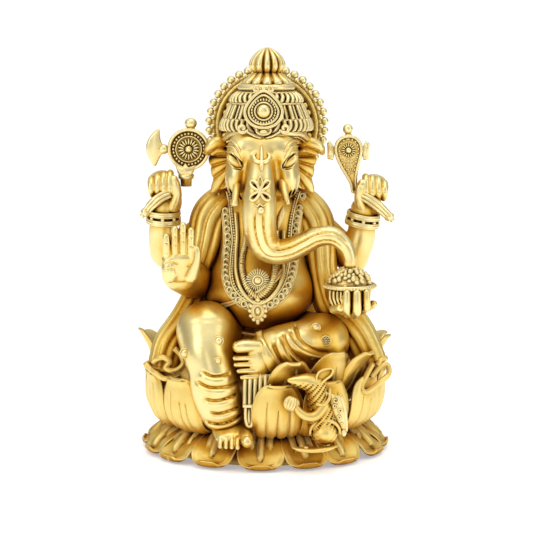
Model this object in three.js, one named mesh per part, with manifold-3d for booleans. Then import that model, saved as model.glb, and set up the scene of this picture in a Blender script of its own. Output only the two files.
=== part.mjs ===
// A four-armed, elephant-headed deity seated on a double lotus: a cast brass figurine in separate castings.
// Millimetres, +Z up. X runs across the figure, -Y is its front, and the origin is under the base's middle.
// "right" and "left" are the figure's own, so its right hand lies at -X.
import * as THREE from "three";
import { mergeVertices } from "three/addons/utils/BufferGeometryUtils.js";
import Module from "manifold-3d";

const wasm = await Module();
wasm.setup();

// ---- Driving dimensions ----
const HEIGHT = 150; // base to the finial's top
const GAP = 0.3; // braze gap between neighbouring castings
const DETAIL = 0.14; // smallest facet detail kept when castings are joined and cut
const BASE = { across: 36, deep: 30, seat: 28, waist: 11.6 }; // lotus core: half width, half depth, heights
const PETAL_DEEP = 31.5; // half depth that the petals' reach is measured against
const PETAL_COUNT = { lower: 16, outer: 14, inner: 14 };
const HALO = { centre: [0.7, 13.5, 120.5], radius: 19.5, thick: 3 };
const HALO_BEADS = { circle: 21.6, radius: 1.75, count: 36 };
const FACE = { x: -0.7, y: -13, z: 107 }; // middle of the head
const CROWN = { x: 0.5, y: -5, brim: 117, ring: 135.6, finial: 141.4 };
const AXE_DISC = { centre: [-28, -6, 113.1], radius: 7.6, thick: 3.2 };
const NOOSE = { centre: [30.7, -6, 112.2], radius: 4.9, foot: 96.6 };
const BOWL = { x: 30.2, y: -32, rim: 67, bottom: 57.4, radius: 8.6 };

// ---- Solids ----
function solidOf(geometry) {
  const bare = geometry.index ? geometry.clone() : mergeVertices(geometry);
  bare.deleteAttribute("normal");
  bare.deleteAttribute("uv");
  const merged = mergeVertices(bare, 1e-4);
  return new wasm.Manifold(
    new wasm.Mesh({
      numProp: 3,
      vertProperties: merged.attributes.position.array,
      triVerts: new Uint32Array(merged.index.array),
    }),
  );
}

function geometryOf(solid) {
  const mesh = solid.getMesh();
  const positions = new Float32Array(mesh.numVert * 3);
  for (let i = 0; i < mesh.numVert; i++) {
    positions.set(mesh.vertProperties.subarray(i * mesh.numProp, i * mesh.numProp + 3), i * 3);
  }
  return new THREE.BufferGeometry()
    .setAttribute("position", new THREE.BufferAttribute(positions, 3))
    .setIndex(new THREE.BufferAttribute(mesh.triVerts, 1));
}

// The same closed surface moved outwards along its normals by a distance.
function grown(geometry, distance) {
  const bare = geometry.clone();
  bare.deleteAttribute("normal");
  bare.deleteAttribute("uv");
  const merged = mergeVertices(bare, 1e-4);
  merged.computeVertexNormals();
  const { position, normal } = merged.attributes;
  const point = new THREE.Vector3();
  const outwards = new THREE.Vector3();
  for (let i = 0; i < position.count; i++) {
    point.fromBufferAttribute(position, i);
    outwards.fromBufferAttribute(normal, i);
    point.addScaledVector(outwards, distance);
    position.setXYZ(i, point.x, point.y, point.z);
  }
  merged.deleteAttribute("normal");
  return merged;
}

function joined(geometries) {
  return geometries
    .map(solidOf)
    .reduce((whole, piece) => whole.add(piece))
    .simplify(DETAIL);
}

// ---- Shapes ----
// A round-ended limb through stations of [x, y, z, half width, half thickness]: it is thick along "facing".
function limb(stations, { sides = 10, steps = 7, caps = 2, facing = [0, -1, 0] } = {}) {
  const path = new THREE.CatmullRomCurve3(stations.map(([x, y, z]) => new THREE.Vector3(x, y, z)));
  const girth = new THREE.CatmullRomCurve3(stations.map(([, , , a, b = a]) => new THREE.Vector3(a, b, 0)));
  const halfLength = 1;
  const geometry = new THREE.CapsuleGeometry(1, 2 * halfLength, caps, sides, steps);
  const { position } = geometry.attributes;
  const front = new THREE.Vector3(...facing);
  for (let i = 0; i < position.count; i++) {
    const along = position.getY(i);
    const inside = THREE.MathUtils.clamp(along, -halfLength, halfLength);
    const t = (inside + halfLength) / (2 * halfLength);
    const tangent = path.getTangent(t);
    const thick = front.clone().addScaledVector(tangent, -front.dot(tangent)).normalize();
    const wide = new THREE.Vector3().crossVectors(tangent, thick);
    const size = girth.getPoint(t);
    const point = path
      .getPoint(t)
      .addScaledVector(wide, position.getX(i) * size.x)
      .addScaledVector(thick, position.getZ(i) * size.y)
      .addScaledVector(tangent, (along - inside) * Math.min(size.x, size.y));
    position.setXYZ(i, point.x, point.y, point.z);
  }
  return facingOut(geometry);
}

// Turns a closed surface's faces outwards if its map mirrored them.
function facingOut(geometry) {
  const solid = solidOf(geometry);
  if (solid.volume() > 0) return geometry;
  const { array } = geometry.index;
  for (let i = 0; i < array.length; i += 3) {
    [array[i + 1], array[i + 2]] = [array[i + 2], array[i + 1]];
  }
  return geometry;
}

function ellipsoid([x, y, z], [a, b, c], { around = 12, down = 8, turn = [0, 0, 0] } = {}) {
  return new THREE.SphereGeometry(1, around, down)
    .rotateX(Math.PI / 2)
    .scale(a, b, c)
    .rotateX(turn[0])
    .rotateY(turn[1])
    .rotateZ(turn[2])
    .translate(x, y, z);
}

const bead = (centre, radius) => ellipsoid(centre, [radius, radius, radius], { around: 6, down: 4 });

// A round disc or plug whose axis runs front to back.
const disc = ([x, y, z], radius, thick, sides = 20) =>
  new THREE.CylinderGeometry(radius, radius, thick, sides).translate(x, y, z);

// A turned body about a vertical axis, squeezed front to back: its profile is [radius, height] from below.
function turned(profile, [x, y, z], { sides = 24, squeeze = 1 } = {}) {
  const points = [[0, profile[0][1]], ...profile, [0, profile.at(-1)[1]]];
  return new THREE.LatheGeometry(
    points.map(([radius, height]) => new THREE.Vector2(radius, height)),
    sides,
  )
    .rotateX(Math.PI / 2)
    .scale(1, squeeze, 1)
    .translate(x, y, z);
}

const ring = ([x, y, z], radius, thick, { turn = [0, 0, 0], squeeze = 1, around = 20, section = 5 } = {}) =>
  new THREE.TorusGeometry(radius, thick, section, around)
    .scale(1, squeeze, 1)
    .rotateX(turn[0])
    .rotateY(turn[1])
    .rotateZ(turn[2])
    .translate(x, y, z);

// An upright string of beads: a ring whose section swells at every bead.
function beadRing([x, y, z], radius, thick, beads) {
  const geometry = new THREE.TorusGeometry(radius, 1, 4, 2 * beads);
  const { position } = geometry.attributes;
  const point = new THREE.Vector3();
  for (let i = 0; i < position.count; i++) {
    point.fromBufferAttribute(position, i);
    const angle = Math.atan2(point.y, point.x);
    const middle = new THREE.Vector3(Math.cos(angle), Math.sin(angle), 0).multiplyScalar(radius);
    const swell = thick * (Math.cos(angle * beads) > 0 ? 1 : 0.65);
    point.sub(middle).multiplyScalar(swell).add(middle);
    position.setXYZ(i, point.x, point.y, point.z);
  }
  return geometry.rotateX(Math.PI / 2).translate(x, y, z);
}

// One row of petals on a band. A petal's path is [reach as a share of the base, height, half width].
// The petals listed in "hidden" would lie under the raised leg and the sash, so they are left out.
function petalRow(count, phase, path, thick, bandHeight, bandRadius, hidden = []) {
  const band = new THREE.TorusGeometry(bandRadius, 2.4, 4, 20);
  const pieces = [band.scale(1, PETAL_DEEP / BASE.across, 1).translate(0, 0, bandHeight)];
  for (let i = 0; i < count; i++) {
    if (hidden.includes(i)) continue;
    const angle = phase + (i * 2 * Math.PI) / count;
    const out = [Math.sin(angle) * BASE.across, -Math.cos(angle) * PETAL_DEEP];
    const stations = path.map(([reach, z, wide]) => [out[0] * reach, out[1] * reach, z, wide, thick]);
    pieces.push(limb(stations, { sides: 4, steps: 3, caps: 1, facing: [out[0], out[1], 8] }));
  }
  return pieces;
}

// ---- Finishes ----
const finish = (color, roughness) => new THREE.MeshStandardMaterial({ color, roughness, metalness: 1 });
const MATERIALS = {
  polished: finish("#d9b45c", 0.25),
  antique: finish("#b8862d", 0.38),
  ornament: finish("#e2c67c", 0.3),
};

// ---- Assembly: each casting is cut back by those before it ----
const figurine = new THREE.Group();
const placed = [];

function boxesMeet(a, b) {
  return [0, 1, 2].every((k) => a.min[k] < b.max[k] && b.min[k] < a.max[k]);
}

function add(name, material, shapes) {
  let solid = joined(shapes);
  for (const room of placed) {
    if (boxesMeet(solid.boundingBox(), room.boundingBox())) solid = solid.subtract(room);
  }
  const bodies = solid.simplify(DETAIL).decompose();
  const largest = bodies.reduce((best, body) => (body.volume() > best.volume() ? body : best));
  const mesh = new THREE.Mesh(geometryOf(largest), material);
  mesh.name = name;
  figurine.add(mesh);
  placed.push(joined(shapes.map((shape) => grown(shape, GAP))));
}

// ---- Torso, and the surface that the jewellery lies on ----
// Sections of the trunk of the body: [height, middle x, middle y, half width, half depth].
const TORSO = [
  [38, -1, -1, 17, 15],
  [46, -1.5, -3, 20, 18.5],
  [55, -1.8, -4.5, 20.8, 19.5],
  [64, -1.6, -4, 19.6, 18.2],
  [73, -1, -2.5, 18.2, 15],
  [82, -0.8, -0.5, 18.5, 12.5],
  [90, -0.6, 0.5, 16, 10.5],
  [97, -0.6, -1, 9.5, 9],
];

function torsoSection(z) {
  const above = TORSO.findIndex(([height], i) => i > 0 && (height >= z || i === TORSO.length - 1));
  const [low, high] = [TORSO[above - 1], TORSO[above]];
  const share = THREE.MathUtils.clamp((z - low[0]) / (high[0] - low[0]), 0, 1);
  return low.map((value, k) => THREE.MathUtils.lerp(value, high[k], share));
}

// The point on the chest or belly that lies straight behind (x, z), moved out by a height.
function onTorso(x, z, out = 0) {
  const [, cx, cy, halfWidth, halfDepth] = torsoSection(z);
  const share = THREE.MathUtils.clamp((x - cx) / halfWidth, -0.97, 0.97);
  return [x, cy - halfDepth * Math.sqrt(1 - share * share) - out, z];
}

function onTorsoBand(points, halfWidth, halfThick, out) {
  return limb(
    points.map(([x, z]) => [...onTorso(x, z, out), halfWidth, halfThick]),
    { sides: 4, steps: Math.ceil(1.5 * points.length), caps: 1, facing: [0, -1, 0.15] },
  );
}

// ---- Lotus core, head and body ----
const coreProfile = [
  [BASE.across + 1, 0], [BASE.across, 3], [31.5, 7.6], [28, BASE.waist],
  [30, 17], [33, 24], [33, BASE.seat],
];
add("lotus_core", MATERIALS.antique, [
  turned(coreProfile, [0, 0, 0], { squeeze: BASE.deep / BASE.across, sides: 28 }),
]);
add("head", MATERIALS.polished, [
  ellipsoid([FACE.x, FACE.y + 2, FACE.z + 1.5], [13.2, 14.5, 12.5], { around: 14, down: 9 }),
  ellipsoid([FACE.x, FACE.y - 2, FACE.z - 7], [10.5, 11.5, 9.5], { around: 11, down: 7 }),
]);
const torsoStations = TORSO.map(([z, x, y, halfWidth, halfDepth]) => [x, y, z, halfWidth, halfDepth]);
add("torso", MATERIALS.polished, [limb(torsoStations, { sides: 16, steps: 12 })]);
const TRUNK = [
  [-1.4, -19, 109, 7.4], [-2, -25.5, 102, 6.3], [-2, -26.5, 92, 5.9], [-1.7, -25.4, 84.6, 5.8],
  [0.4, -24.6, 79.6, 5.2], [4.6, -24.8, 77.4, 4.5], [9.4, -26, 78.6, 4.1], [14, -27.6, 81.2, 3.8],
  [19, -29.4, 83.6, 3.5], [24.4, -31, 83.4, 3.2], [28.4, -32, 80.2, 2.7], [30, -32.3, 77.2, 2.3],
];
add("trunk", MATERIALS.polished, [limb(TRUNK, { sides: 10, steps: 22 })]);
add("trunk_flower", MATERIALS.ornament, [
  ellipsoid([-1.7, -32.2, 99.8], [3.9, 0.9, 4.6], { around: 9, down: 6, turn: [-0.1, 0, 0] }),
]);
add("left_tusk", MATERIALS.polished, [
  limb([[6.4, -21, 101, 2], [7.2, -24.6, 97.6, 1.8], [8, -27, 94.6, 0.8]], { sides: 7, steps: 3 }),
]);
add("right_tusk", MATERIALS.polished, [
  limb([[-10, -21, 101, 2], [-10.4, -24.5, 97.6, 1.9], [-10.6, -26.5, 95, 1.6]], { sides: 7, steps: 3 }),
]);
for (const [side, x, flare] of [["right", -16.3, -18], ["left", 15.6, 18.8]]) {
  add(`${side}_ear`, MATERIALS.polished, [
    ellipsoid([x, -6, 105.4], [4.6, 1.8, 9.2], { around: 8, down: 6 }),
    ellipsoid([flare, -5.6, 111.2], [4.2, 2, 3.4], { around: 6, down: 5 }),
  ]);
}

// ---- Crown and halo ----
const crownAt = (z) => [CROWN.x, CROWN.y, z];
const capProfile = [[14, 113], [16, 118], [16.4, 122], [15.2, 126], [13.4, 130], [11, 134]];
const neckProfile = [[8, 134.6], [9.4, 137.4], [6.4, 139.4], [5, 141]];
const finialProfile = [
  [5.2, CROWN.finial], [6.4, CROWN.finial + 1.4], [6.4, 144.4], [5, 147], [3, 149.2], [1.4, HEIGHT],
];
add("crown_cap", MATERIALS.ornament, [turned(capProfile, crownAt(0), { sides: 16 })]);
add("crown_brim", MATERIALS.ornament, [
  ring(crownAt(CROWN.brim), 15.9, 1.5, { turn: [-0.1, 0, 0], squeeze: 1.04 }),
]);
add("crown_ring", MATERIALS.ornament, [ring(crownAt(CROWN.ring), 9.4, 1.4, { around: 20 })]);
add("finial_neck", MATERIALS.ornament, [turned(neckProfile, crownAt(0), { sides: 16 })]);
add("finial", MATERIALS.ornament, [turned(finialProfile, crownAt(0), { sides: 16 })]);
// An outline in X and Z, given thickness along Y and centred on a point.
function uprightPlate(outline, thick, [x, y, z], curveSegments = 4) {
  return new THREE.ExtrudeGeometry(outline, { depth: thick, bevelEnabled: false, curveSegments })
    .rotateX(Math.PI / 2)
    .translate(x, y + thick / 2, z);
}
function crestPlate() {
  const outline = new THREE.Shape();
  outline.moveTo(0, 7.6);
  outline.bezierCurveTo(3, 5, 7, 4, 7, -0.6);
  outline.bezierCurveTo(7, -5.5, 4, -8.2, 0, -8.2);
  outline.bezierCurveTo(-4, -8.2, -7, -5.5, -7, -0.6);
  outline.bezierCurveTo(-7, 4, -3, 5, 0, 7.6);
  return uprightPlate(outline, 3.4, [CROWN.x - 1.1, CROWN.y - 15, 127]);
}
add("crest_jewel", MATERIALS.ornament, [crestPlate()]);
add("halo_plate", MATERIALS.antique, [disc(HALO.centre, HALO.radius, HALO.thick, 32)]);
add("halo_bead_ring", MATERIALS.ornament, [
  beadRing(HALO.centre, HALO_BEADS.circle, HALO_BEADS.radius, HALO_BEADS.count),
]);

// ---- Legs, feet and dhoti ----
add("raised_leg", MATERIALS.polished, [
  limb([[-11, 2, 42, 10], [-21, -20, 47, 10.2]], { sides: 10, steps: 3 }),
  limb(
    [
      [-21.4, -21.5, 47, 10.3], [-20.2, -27, 38.4, 8.9], [-18.4, -29.6, 30, 8.6], [-17, -30.6, 23, 8],
      [-15.4, -31, 17.4, 6.6],
    ],
    { sides: 11, steps: 8 },
  ),
]);
add("folded_leg", MATERIALS.polished, [
  limb([[10, 2, 42, 9.6], [20.4, -15, 44, 9]], { sides: 10, steps: 3 }),
  limb([[20.8, -18, 43.8, 9], [10, -24, 43, 8.6], [1.5, -26, 42, 7.4]], { sides: 11, steps: 5 }),
]);
const TOES = [0, 1, 2, 3]; // the four small toes, from the big toe outwards
add("raised_foot", MATERIALS.polished, [
  limb([[-14.4, -29, 13, 5.4, 4.4], [-12.4, -36.5, 11.6, 6, 3]], { sides: 8, steps: 3, facing: [0, 0, 1] }),
  limb([[-7.4, -36, 13, 2.4], [-6.2, -41.5, 12.2, 2.1]], { sides: 7, steps: 2 }),
  ...TOES.map((toe) => {
    const x = -9.7 - 2.05 * toe;
    return limb([[x, -36, 11.8, 1.5], [x, -41, 9.9, 1.25]], { sides: 6, steps: 2 });
  }),
]);
add("folded_foot", MATERIALS.polished, [
  limb([[1.5, -29, 40.6, 6, 4], [-5.4, -31.5, 39.6, 6.4, 3.2]], { sides: 8, steps: 3 }),
  limb([[-5, -32.4, 44.8, 2.3], [-9.4, -33, 44.6, 2.3]], { sides: 7, steps: 2 }),
  ...TOES.map((toe) => {
    const z = 40.8 - 2.4 * toe;
    return limb([[-4.6, -32, z, 1.5], [-9.2 + 0.6 * toe, -32.6, z - 0.1, 1.3]], { sides: 6, steps: 2 });
  }),
]);
const HEM = [
  [-1.9, -31.5, 48.6, 1.2, 1.3], [0, -33.8, 43.4, 1.5, 1.3],
  [2.2, -34.6, 38.8, 1.7, 1.4], [5.8, -33.4, 34, 2, 1.4],
];
add("dhoti_border", MATERIALS.ornament, [limb(HEM, { sides: 6, steps: 5, caps: 1 })]);
add("waist_sash", MATERIALS.ornament, [
  limb([[-2.4, -34.6, 32, 5.4, 1.8], [-2.8, -36.8, 17.6, 4.6, 1.8]], { sides: 7, steps: 2, caps: 1 }),
]);
function gem(x, y, z, radius) {
  return ellipsoid([x, y, z], [radius, radius * 0.8, radius], { around: 6, down: 5 });
}
add("raised_knee_gem", MATERIALS.ornament, [gem(-16.5, -31, 46.6, 1.8)]);
add("folded_knee_gem", MATERIALS.ornament, [gem(18.3, -25, 50.4, 1.8)]);
add("folded_knee_rosette", MATERIALS.ornament, [gem(21.9, -27.3, 45.8, 2.2)]);

// ---- Raised rear arms ----
function curledHand([x, y, z], fingers, thumb, lean) {
  return [
    ellipsoid([x + lean * 3.4, y + 0.6, z - 5.4], [4.5, 3.6, 5.6], { around: 8, down: 6 }),
    ellipsoid([x, y + 1.2, z], [4.6, 3.2, 5], { around: 8, down: 6 }),
    ...fingers.map((across) => {
      const stations = [[x + across, y - 2.6, z - 2.6, 1.3], [x + across, y - 3, z + 2.6, 1.3]];
      return limb(stations, { sides: 5, steps: 1 });
    }),
    limb(thumb.map(([dx, dy, dz]) => [x + dx, y + dy, z + dz, 1.6]), { sides: 6, steps: 3 }),
  ];
}
const AXE_THUMB = [[6.3, -1.5, -9], [7.2, -2.6, -4], [6.4, -2.2, 0.2]];
const NOOSE_THUMB = [[-7.4, -1.5, -8.4], [-8, -2.6, -4], [-7, -2.2, -0.6]];
add("axe_arm", MATERIALS.polished, [
  limb([[-19, 2, 84, 6.6], [-28.4, 2, 77.4, 6.2], [-35.2, 0.5, 73, 5.8]], { sides: 8, steps: 3 }),
  limb([[-37, 0, 73.4, 5.8], [-37.8, -3, 80, 5.6], [-37.4, -5, 87.4, 4.8]], { sides: 10, steps: 4 }),
]);
const AXE_FINGERS = [-3.8, -1.6, 0.6, 2.8];
const NOOSE_FINGERS = [-2.6, -0.4, 1.7, 3.7];
add("axe_hand", MATERIALS.polished, curledHand([-38, -6.5, 100.6], AXE_FINGERS, AXE_THUMB, 1));
add("noose_arm", MATERIALS.polished, [
  limb([[17.6, 2, 84, 6.6], [26, 2, 77, 6.2], [31.4, 0.5, 71.4, 5.6]], { sides: 8, steps: 3 }),
  limb([[33, 0, 71, 5.5], [35, -3, 78, 5.5], [36, -5, 86.6, 4.8]], { sides: 10, steps: 4 }),
]);
add("noose_hand", MATERIALS.polished, curledHand([40.6, -6.5, 99], NOOSE_FINGERS, NOOSE_THUMB, -1));
const bangle = (x, y, z, radius, tip) =>
  [0, 1].map((i) =>
    ring([x, y, z - 2.4 * i], radius, 1.3, { turn: [0.12, tip, 0], around: 12, section: 4 }),
  );
add("axe_bangle", MATERIALS.ornament, bangle(-37.4, -4.8, 89.2, 5.4, 0.05));
add("noose_bangle", MATERIALS.ornament, bangle(36.2, -4.8, 87.4, 5.4, 0.12));

// ---- Axe in the upper right hand, noose in the upper left ----
function axeBlade() {
  const [x, , z] = AXE_DISC.centre;
  const outline = new THREE.Shape();
  outline.moveTo(x - 8, z - 1.4);
  outline.quadraticCurveTo(x - 10.5, z - 2, x - 12, z - 6.2);
  outline.quadraticCurveTo(x - 19.5, z, x - 10.8, z + 7.6);
  outline.quadraticCurveTo(x - 9.6, z + 2.6, x - 8, z + 1.6);
  return uprightPlate(outline, 2, [0, AXE_DISC.centre[1], 0], 5);
}
const [discX, discY] = AXE_DISC.centre;
const collarProfile = [[1.8, 98.4], [2, 102.2], [2.8, 103], [2.8, 104.6], [1.8, 106.4]];
add("axe_shaft", MATERIALS.ornament, [
  limb([[-36, -8, 96.6, 1.2], [-40, -9, 93.4, 1.2], [-44.6, -7, 89.4, 1.5]], { sides: 6, steps: 4 }),
]);
add("axe_disc", MATERIALS.ornament, [
  disc(AXE_DISC.centre, AXE_DISC.radius, AXE_DISC.thick, 24),
  ellipsoid([discX + 0.8, discY, 122.4], [2.3, 2.1, 2.1], { around: 6, down: 5 }),
  turned(collarProfile, [discX - 1, discY, 0], { sides: 8 }),
]);
add("axe_blade", MATERIALS.ornament, [
  axeBlade(),
  ellipsoid([discX - 9, discY, 113.3], [2, 1.8, 2], { around: 6, down: 5 }),
]);
const [nooseX, nooseY, nooseZ] = NOOSE.centre;
function noosePlate() {
  const wide = NOOSE.radius;
  const outline = new THREE.Shape();
  outline.moveTo(nooseX + 1.7, NOOSE.foot);
  outline.bezierCurveTo(nooseX, nooseZ - 6, nooseX - wide, nooseZ - 5, nooseX - wide, nooseZ);
  outline.bezierCurveTo(nooseX - wide, nooseZ + 4, nooseX - 2.6, nooseZ + 6, nooseX, nooseZ + 6);
  outline.bezierCurveTo(nooseX + 2.6, nooseZ + 6, nooseX + wide, nooseZ + 4, nooseX + wide, nooseZ);
  outline.bezierCurveTo(nooseX + wide, nooseZ - 6, nooseX + 2.6, nooseZ - 8, nooseX + 3.4, NOOSE.foot);
  return uprightPlate(outline, 3, [0, nooseY, 0]);
}
add("noose_shaft", MATERIALS.ornament, [
  limb([[37, -8.6, 94.4, 1.2], [42.6, -9, 91.4, 1.2], [46.4, -7, 88, 1.5]], { sides: 6, steps: 4 }),
]);
add("noose", MATERIALS.ornament, [
  noosePlate(),
  ellipsoid([nooseX, nooseY, 119.8], [1.9, 1.8, 2.2], { around: 6, down: 5 }),
  ellipsoid([nooseX - 6, nooseY, 112.6], [2, 1.5, 3.2], { around: 6, down: 5 }),
  ellipsoid([nooseX + 6.2, nooseY, 112.6], [2.2, 1.5, 3.2], { around: 6, down: 5 }),
]);

// ---- Front arms: blessing hand and bowl of sweets ----
const FINGERTIPS = [[-35.7, 84.6], [-32.2, 87.6], [-28.9, 88.8], [-26, 87]];
add("blessing_hand", MATERIALS.polished, [
  limb([[-30.2, -29.6, 69.4, 6.2, 3.4], [-30.4, -31.4, 76, 6.2, 2.8]], { sides: 8, steps: 2 }),
  ...FINGERTIPS.map(([x, tip]) =>
    limb([[x * 0.97 - 0.9, -31.8, 76, 1.5], [x, -32, tip - 1.3, 1.35]], { sides: 6, steps: 2 }),
  ),
  limb([[-26.4, -31, 70, 2.2], [-24.4, -32.2, 75, 1.6], [-24.2, -32.2, 79, 1.3]], { sides: 6, steps: 3 }),
]);
add("blessing_forearm", MATERIALS.polished, [
  limb([[-26, -8, 65, 6.2], [-30.2, -24, 68.8, 6.4]], { sides: 10, steps: 2 }),
]);
const bowlProfile = [
  [5, BOWL.bottom], [7.2, 60.6], [8, BOWL.rim - 2], [BOWL.radius, BOWL.rim - 1.4],
  [BOWL.radius, BOWL.rim - 0.2], [7.6, BOWL.rim + 0.2],
];
const SWEET_ROWS = [[1, 0, 72], [4, 3, 70.8], [8, 5.4, 69.2]]; // [how many, circle radius, height]
add("sweets_bowl", MATERIALS.ornament, [turned(bowlProfile, [BOWL.x, BOWL.y, 0], { sides: 16 })]);
add("sweets", MATERIALS.ornament, [
  ellipsoid([BOWL.x, BOWL.y, 67.6], [7, 7, 4.8], { around: 11, down: 6 }),
  ...SWEET_ROWS.flatMap(([count, radius, z]) =>
    Array.from({ length: count }, (_, i) => {
      const angle = (i * 2 * Math.PI) / count + radius;
      return bead([BOWL.x + radius * Math.cos(angle), BOWL.y + radius * Math.sin(angle), z], 1.4);
    }),
  ),
]);
const bowlFinger = (dx) => {
  const x = BOWL.x + dx;
  const y = BOWL.y - Math.sqrt(81 - dx * dx);
  return limb([[x, y + 4.4, 57, 1.6], [x, y + 0.6, 59.6, 1.6], [x, y, 64, 1.4]], { sides: 6, steps: 3 });
};
add("bowl_hand", MATERIALS.polished, [
  ellipsoid([BOWL.x, BOWL.y + 1, 59.2], [7.4, 8.2, 4], { around: 9, down: 6 }),
  ...[-5, -1.5, 2, 5.4].map(bowlFinger),
  limb([[BOWL.x + 6, -29, 58, 1.9], [BOWL.x + 8.4, -32, 59.6, 1.6]], { sides: 6, steps: 3 }),
]);
add("bowl_forearm", MATERIALS.polished, [
  limb([[27, -8, 61.6, 6.2], [29.8, -23.6, 60.2, 5.4]], { sides: 10, steps: 2 }),
]);

// ---- Jewellery on the chest: paths are [x, z] on the front of the torso ----
const CORD = [
  [-9, 88], [-10.6, 79], [-10.8, 71], [-8.4, 63.6], [-5, 60], [-2.4, 59.2],
  [0, 60], [4.6, 63.6], [6.6, 71], [6.8, 79], [7, 88],
];
const ROPE = [
  [-6.5, 84], [-8, 77], [-7.8, 70.6], [-5.6, 65], [-2.3, 62.4], [1.2, 65], [3.4, 70.6], [4.4, 77], [4, 84],
];
const GARLAND = [
  [-12, 92.6], [-13.2, 86], [-13.8, 78], [-14, 70], [-12.2, 62.4], [-8.2, 58], [-2.5, 56], [3.6, 58],
  [8.4, 62.6], [10.4, 70], [10.6, 78], [11, 86], [11.4, 92.6],
];
add("sacred_thread", MATERIALS.ornament, [
  onTorsoBand([[5.6, 68.8], [-3, 61.6], [-11, 58.4], [-17.6, 56.4]], 0.8, 0.5, 0.7),
]);
add("sunburst_pendant", MATERIALS.ornament, [disc(onTorso(-2.5, 67, 1.9), 4.2, 2.2, 20)]);
add("rope_necklace", MATERIALS.ornament, [onTorsoBand(ROPE, 1.1, 1.1, 1.2)]);
add("cord_necklace", MATERIALS.ornament, [onTorsoBand(CORD, 0.9, 1.1, 1.2)]);
add("garland_necklace", MATERIALS.ornament, [onTorsoBand(GARLAND, 1.7, 1.2, 1.3)]);
add("drop_pendant", MATERIALS.ornament, [
  ellipsoid(onTorso(-2.6, 56.2, 1), [3.6, 1.9, 4.6], { around: 9, down: 6 }),
]);

// ---- Shawl: stations are [x, y, z, half width, half thickness] ----
const SHAWL_RIGHT = [
  [-12.4, 1, 93.4, 6.2, 4], [-18.4, 0, 86.6, 7.4, 6.2], [-22.4, -2, 77, 6.4, 7.2], [-23.4, -3, 68, 5, 6],
];
const SHAWL_FALL = [
  [-26, -1, 59, 5, 4], [-30, -7, 50, 6.2, 4], [-34.6, -13, 42, 6.4, 3.2], [-37, -17, 33, 6, 2.6],
];
const SHAWL_LEFT = [
  [11.4, 1, 93.4, 6.2, 4], [17, 0, 86.6, 7.4, 6.2], [20.4, -2, 77, 6.4, 7.2], [22, -6, 65, 4.6, 6],
  [27, -10, 55, 6, 4.4], [34.6, -14, 45, 7, 3.2], [39.6, -17, 35, 6.4, 2.6],
];
const SHAWL_BACK = [
  [-0.6, 8, 93, 12.4, 4], [-0.6, 11.5, 84, 18, 5], [-0.6, 13, 70, 19.5, 5], [-0.6, 14.5, 54, 21, 5],
  [-0.6, 16, 42, 24, 4.4], [-0.6, 18, 35, 25, 3.6],
];
add("shawl_right", MATERIALS.antique, [limb(SHAWL_RIGHT, { sides: 10, steps: 10 })]);
add("shawl_right_fall", MATERIALS.antique, [limb(SHAWL_FALL, { sides: 10, steps: 5 })]);
add("shawl_left", MATERIALS.antique, [limb(SHAWL_LEFT, { sides: 10, steps: 10 })]);
add("shawl_back", MATERIALS.antique, [limb(SHAWL_BACK, { sides: 11, steps: 8 })]);

// ---- Mouse with a sweet ----
add("mouse_sweet", MATERIALS.ornament, [
  ellipsoid([9.4, -42.4, 25.8], [2.9, 2.8, 2.9], { around: 8, down: 6 }),
]);
add("mouse", MATERIALS.antique, [
  ellipsoid([21.2, -37.8, 15.2], [4.6, 4.4, 4.8], { around: 9, down: 6 }),
  limb([[20.8, -36.6, 17, 4.8], [18.8, -37, 23.4, 4.2], [17.2, -37.8, 29.4, 3.5]], { sides: 8, steps: 4 }),
  limb([[17.8, -37.6, 32.2, 3.4], [13.4, -39.4, 33.4, 2.8], [9, -41.4, 33.9, 0.9]], { sides: 8, steps: 4 }),
  limb([[19.6, -40, 25, 1.7], [16, -42, 21.4, 1.6], [12.4, -42.4, 24, 1.5]], { sides: 6, steps: 3 }),
  ellipsoid([20.8, -38.6, 34.8], [3.4, 1.2, 2.3], { around: 8, down: 5, turn: [0, -0.6, 0] }),
]);
const MOUSE_FOOT = [[10.4, -41, 9.9, 1.6, 0.9], [17, -41.4, 9.2, 2.4, 0.9], [25, -39.4, 10.2, 2, 0.9]];
const MOUSE_CLOTH = [[22.8, -37, 29.4, 2.4, 2], [25.8, -37.4, 23, 3.4, 2.6], [28, -38, 14.6, 1.2, 1.4]];
add("mouse_foot", MATERIALS.antique, [limb(MOUSE_FOOT, { sides: 7, steps: 3, facing: [0, 0, 1] })]);
add("mouse_cloth", MATERIALS.ornament, [limb(MOUSE_CLOTH, { sides: 7, steps: 3 })]);

// ---- Lotus petals ----
const middleOfPetals = 2.2 / 42; // the front petals stand a little off the middle
const betweenPetals = Math.PI / PETAL_COUNT.inner;
const LOWER_PETAL = [[0.86, 11.2, 4.2], [1.02, 8.8, 7.2], [1.13, 5.2, 7.8], [1.22, 2.4, 5]];
const OUTER_PETAL = [[0.9, 13, 4], [1.08, 16.6, 7.6], [1.17, 23, 8], [1.21, 29, 5]];
const INNER_PETAL = [[0.88, 22, 5], [1.06, 27, 7.6], [1.2, 33, 7], [1.35, 39, 2.8]];
add(
  "petals_lower",
  MATERIALS.antique,
  petalRow(PETAL_COUNT.lower, -middleOfPetals, LOWER_PETAL, 1.7, 9.4, 30),
);
add(
  "petals_outer",
  MATERIALS.antique,
  petalRow(PETAL_COUNT.outer, 0.12, OUTER_PETAL, 1.8, 14.8, 31.8, [13]),
);
add(
  "petals_inner",
  MATERIALS.antique,
  petalRow(PETAL_COUNT.inner, 0.12 + betweenPetals, INNER_PETAL, 1.7, 24.4, 33.8, [12, 13]),
);

export default figurine;
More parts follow.
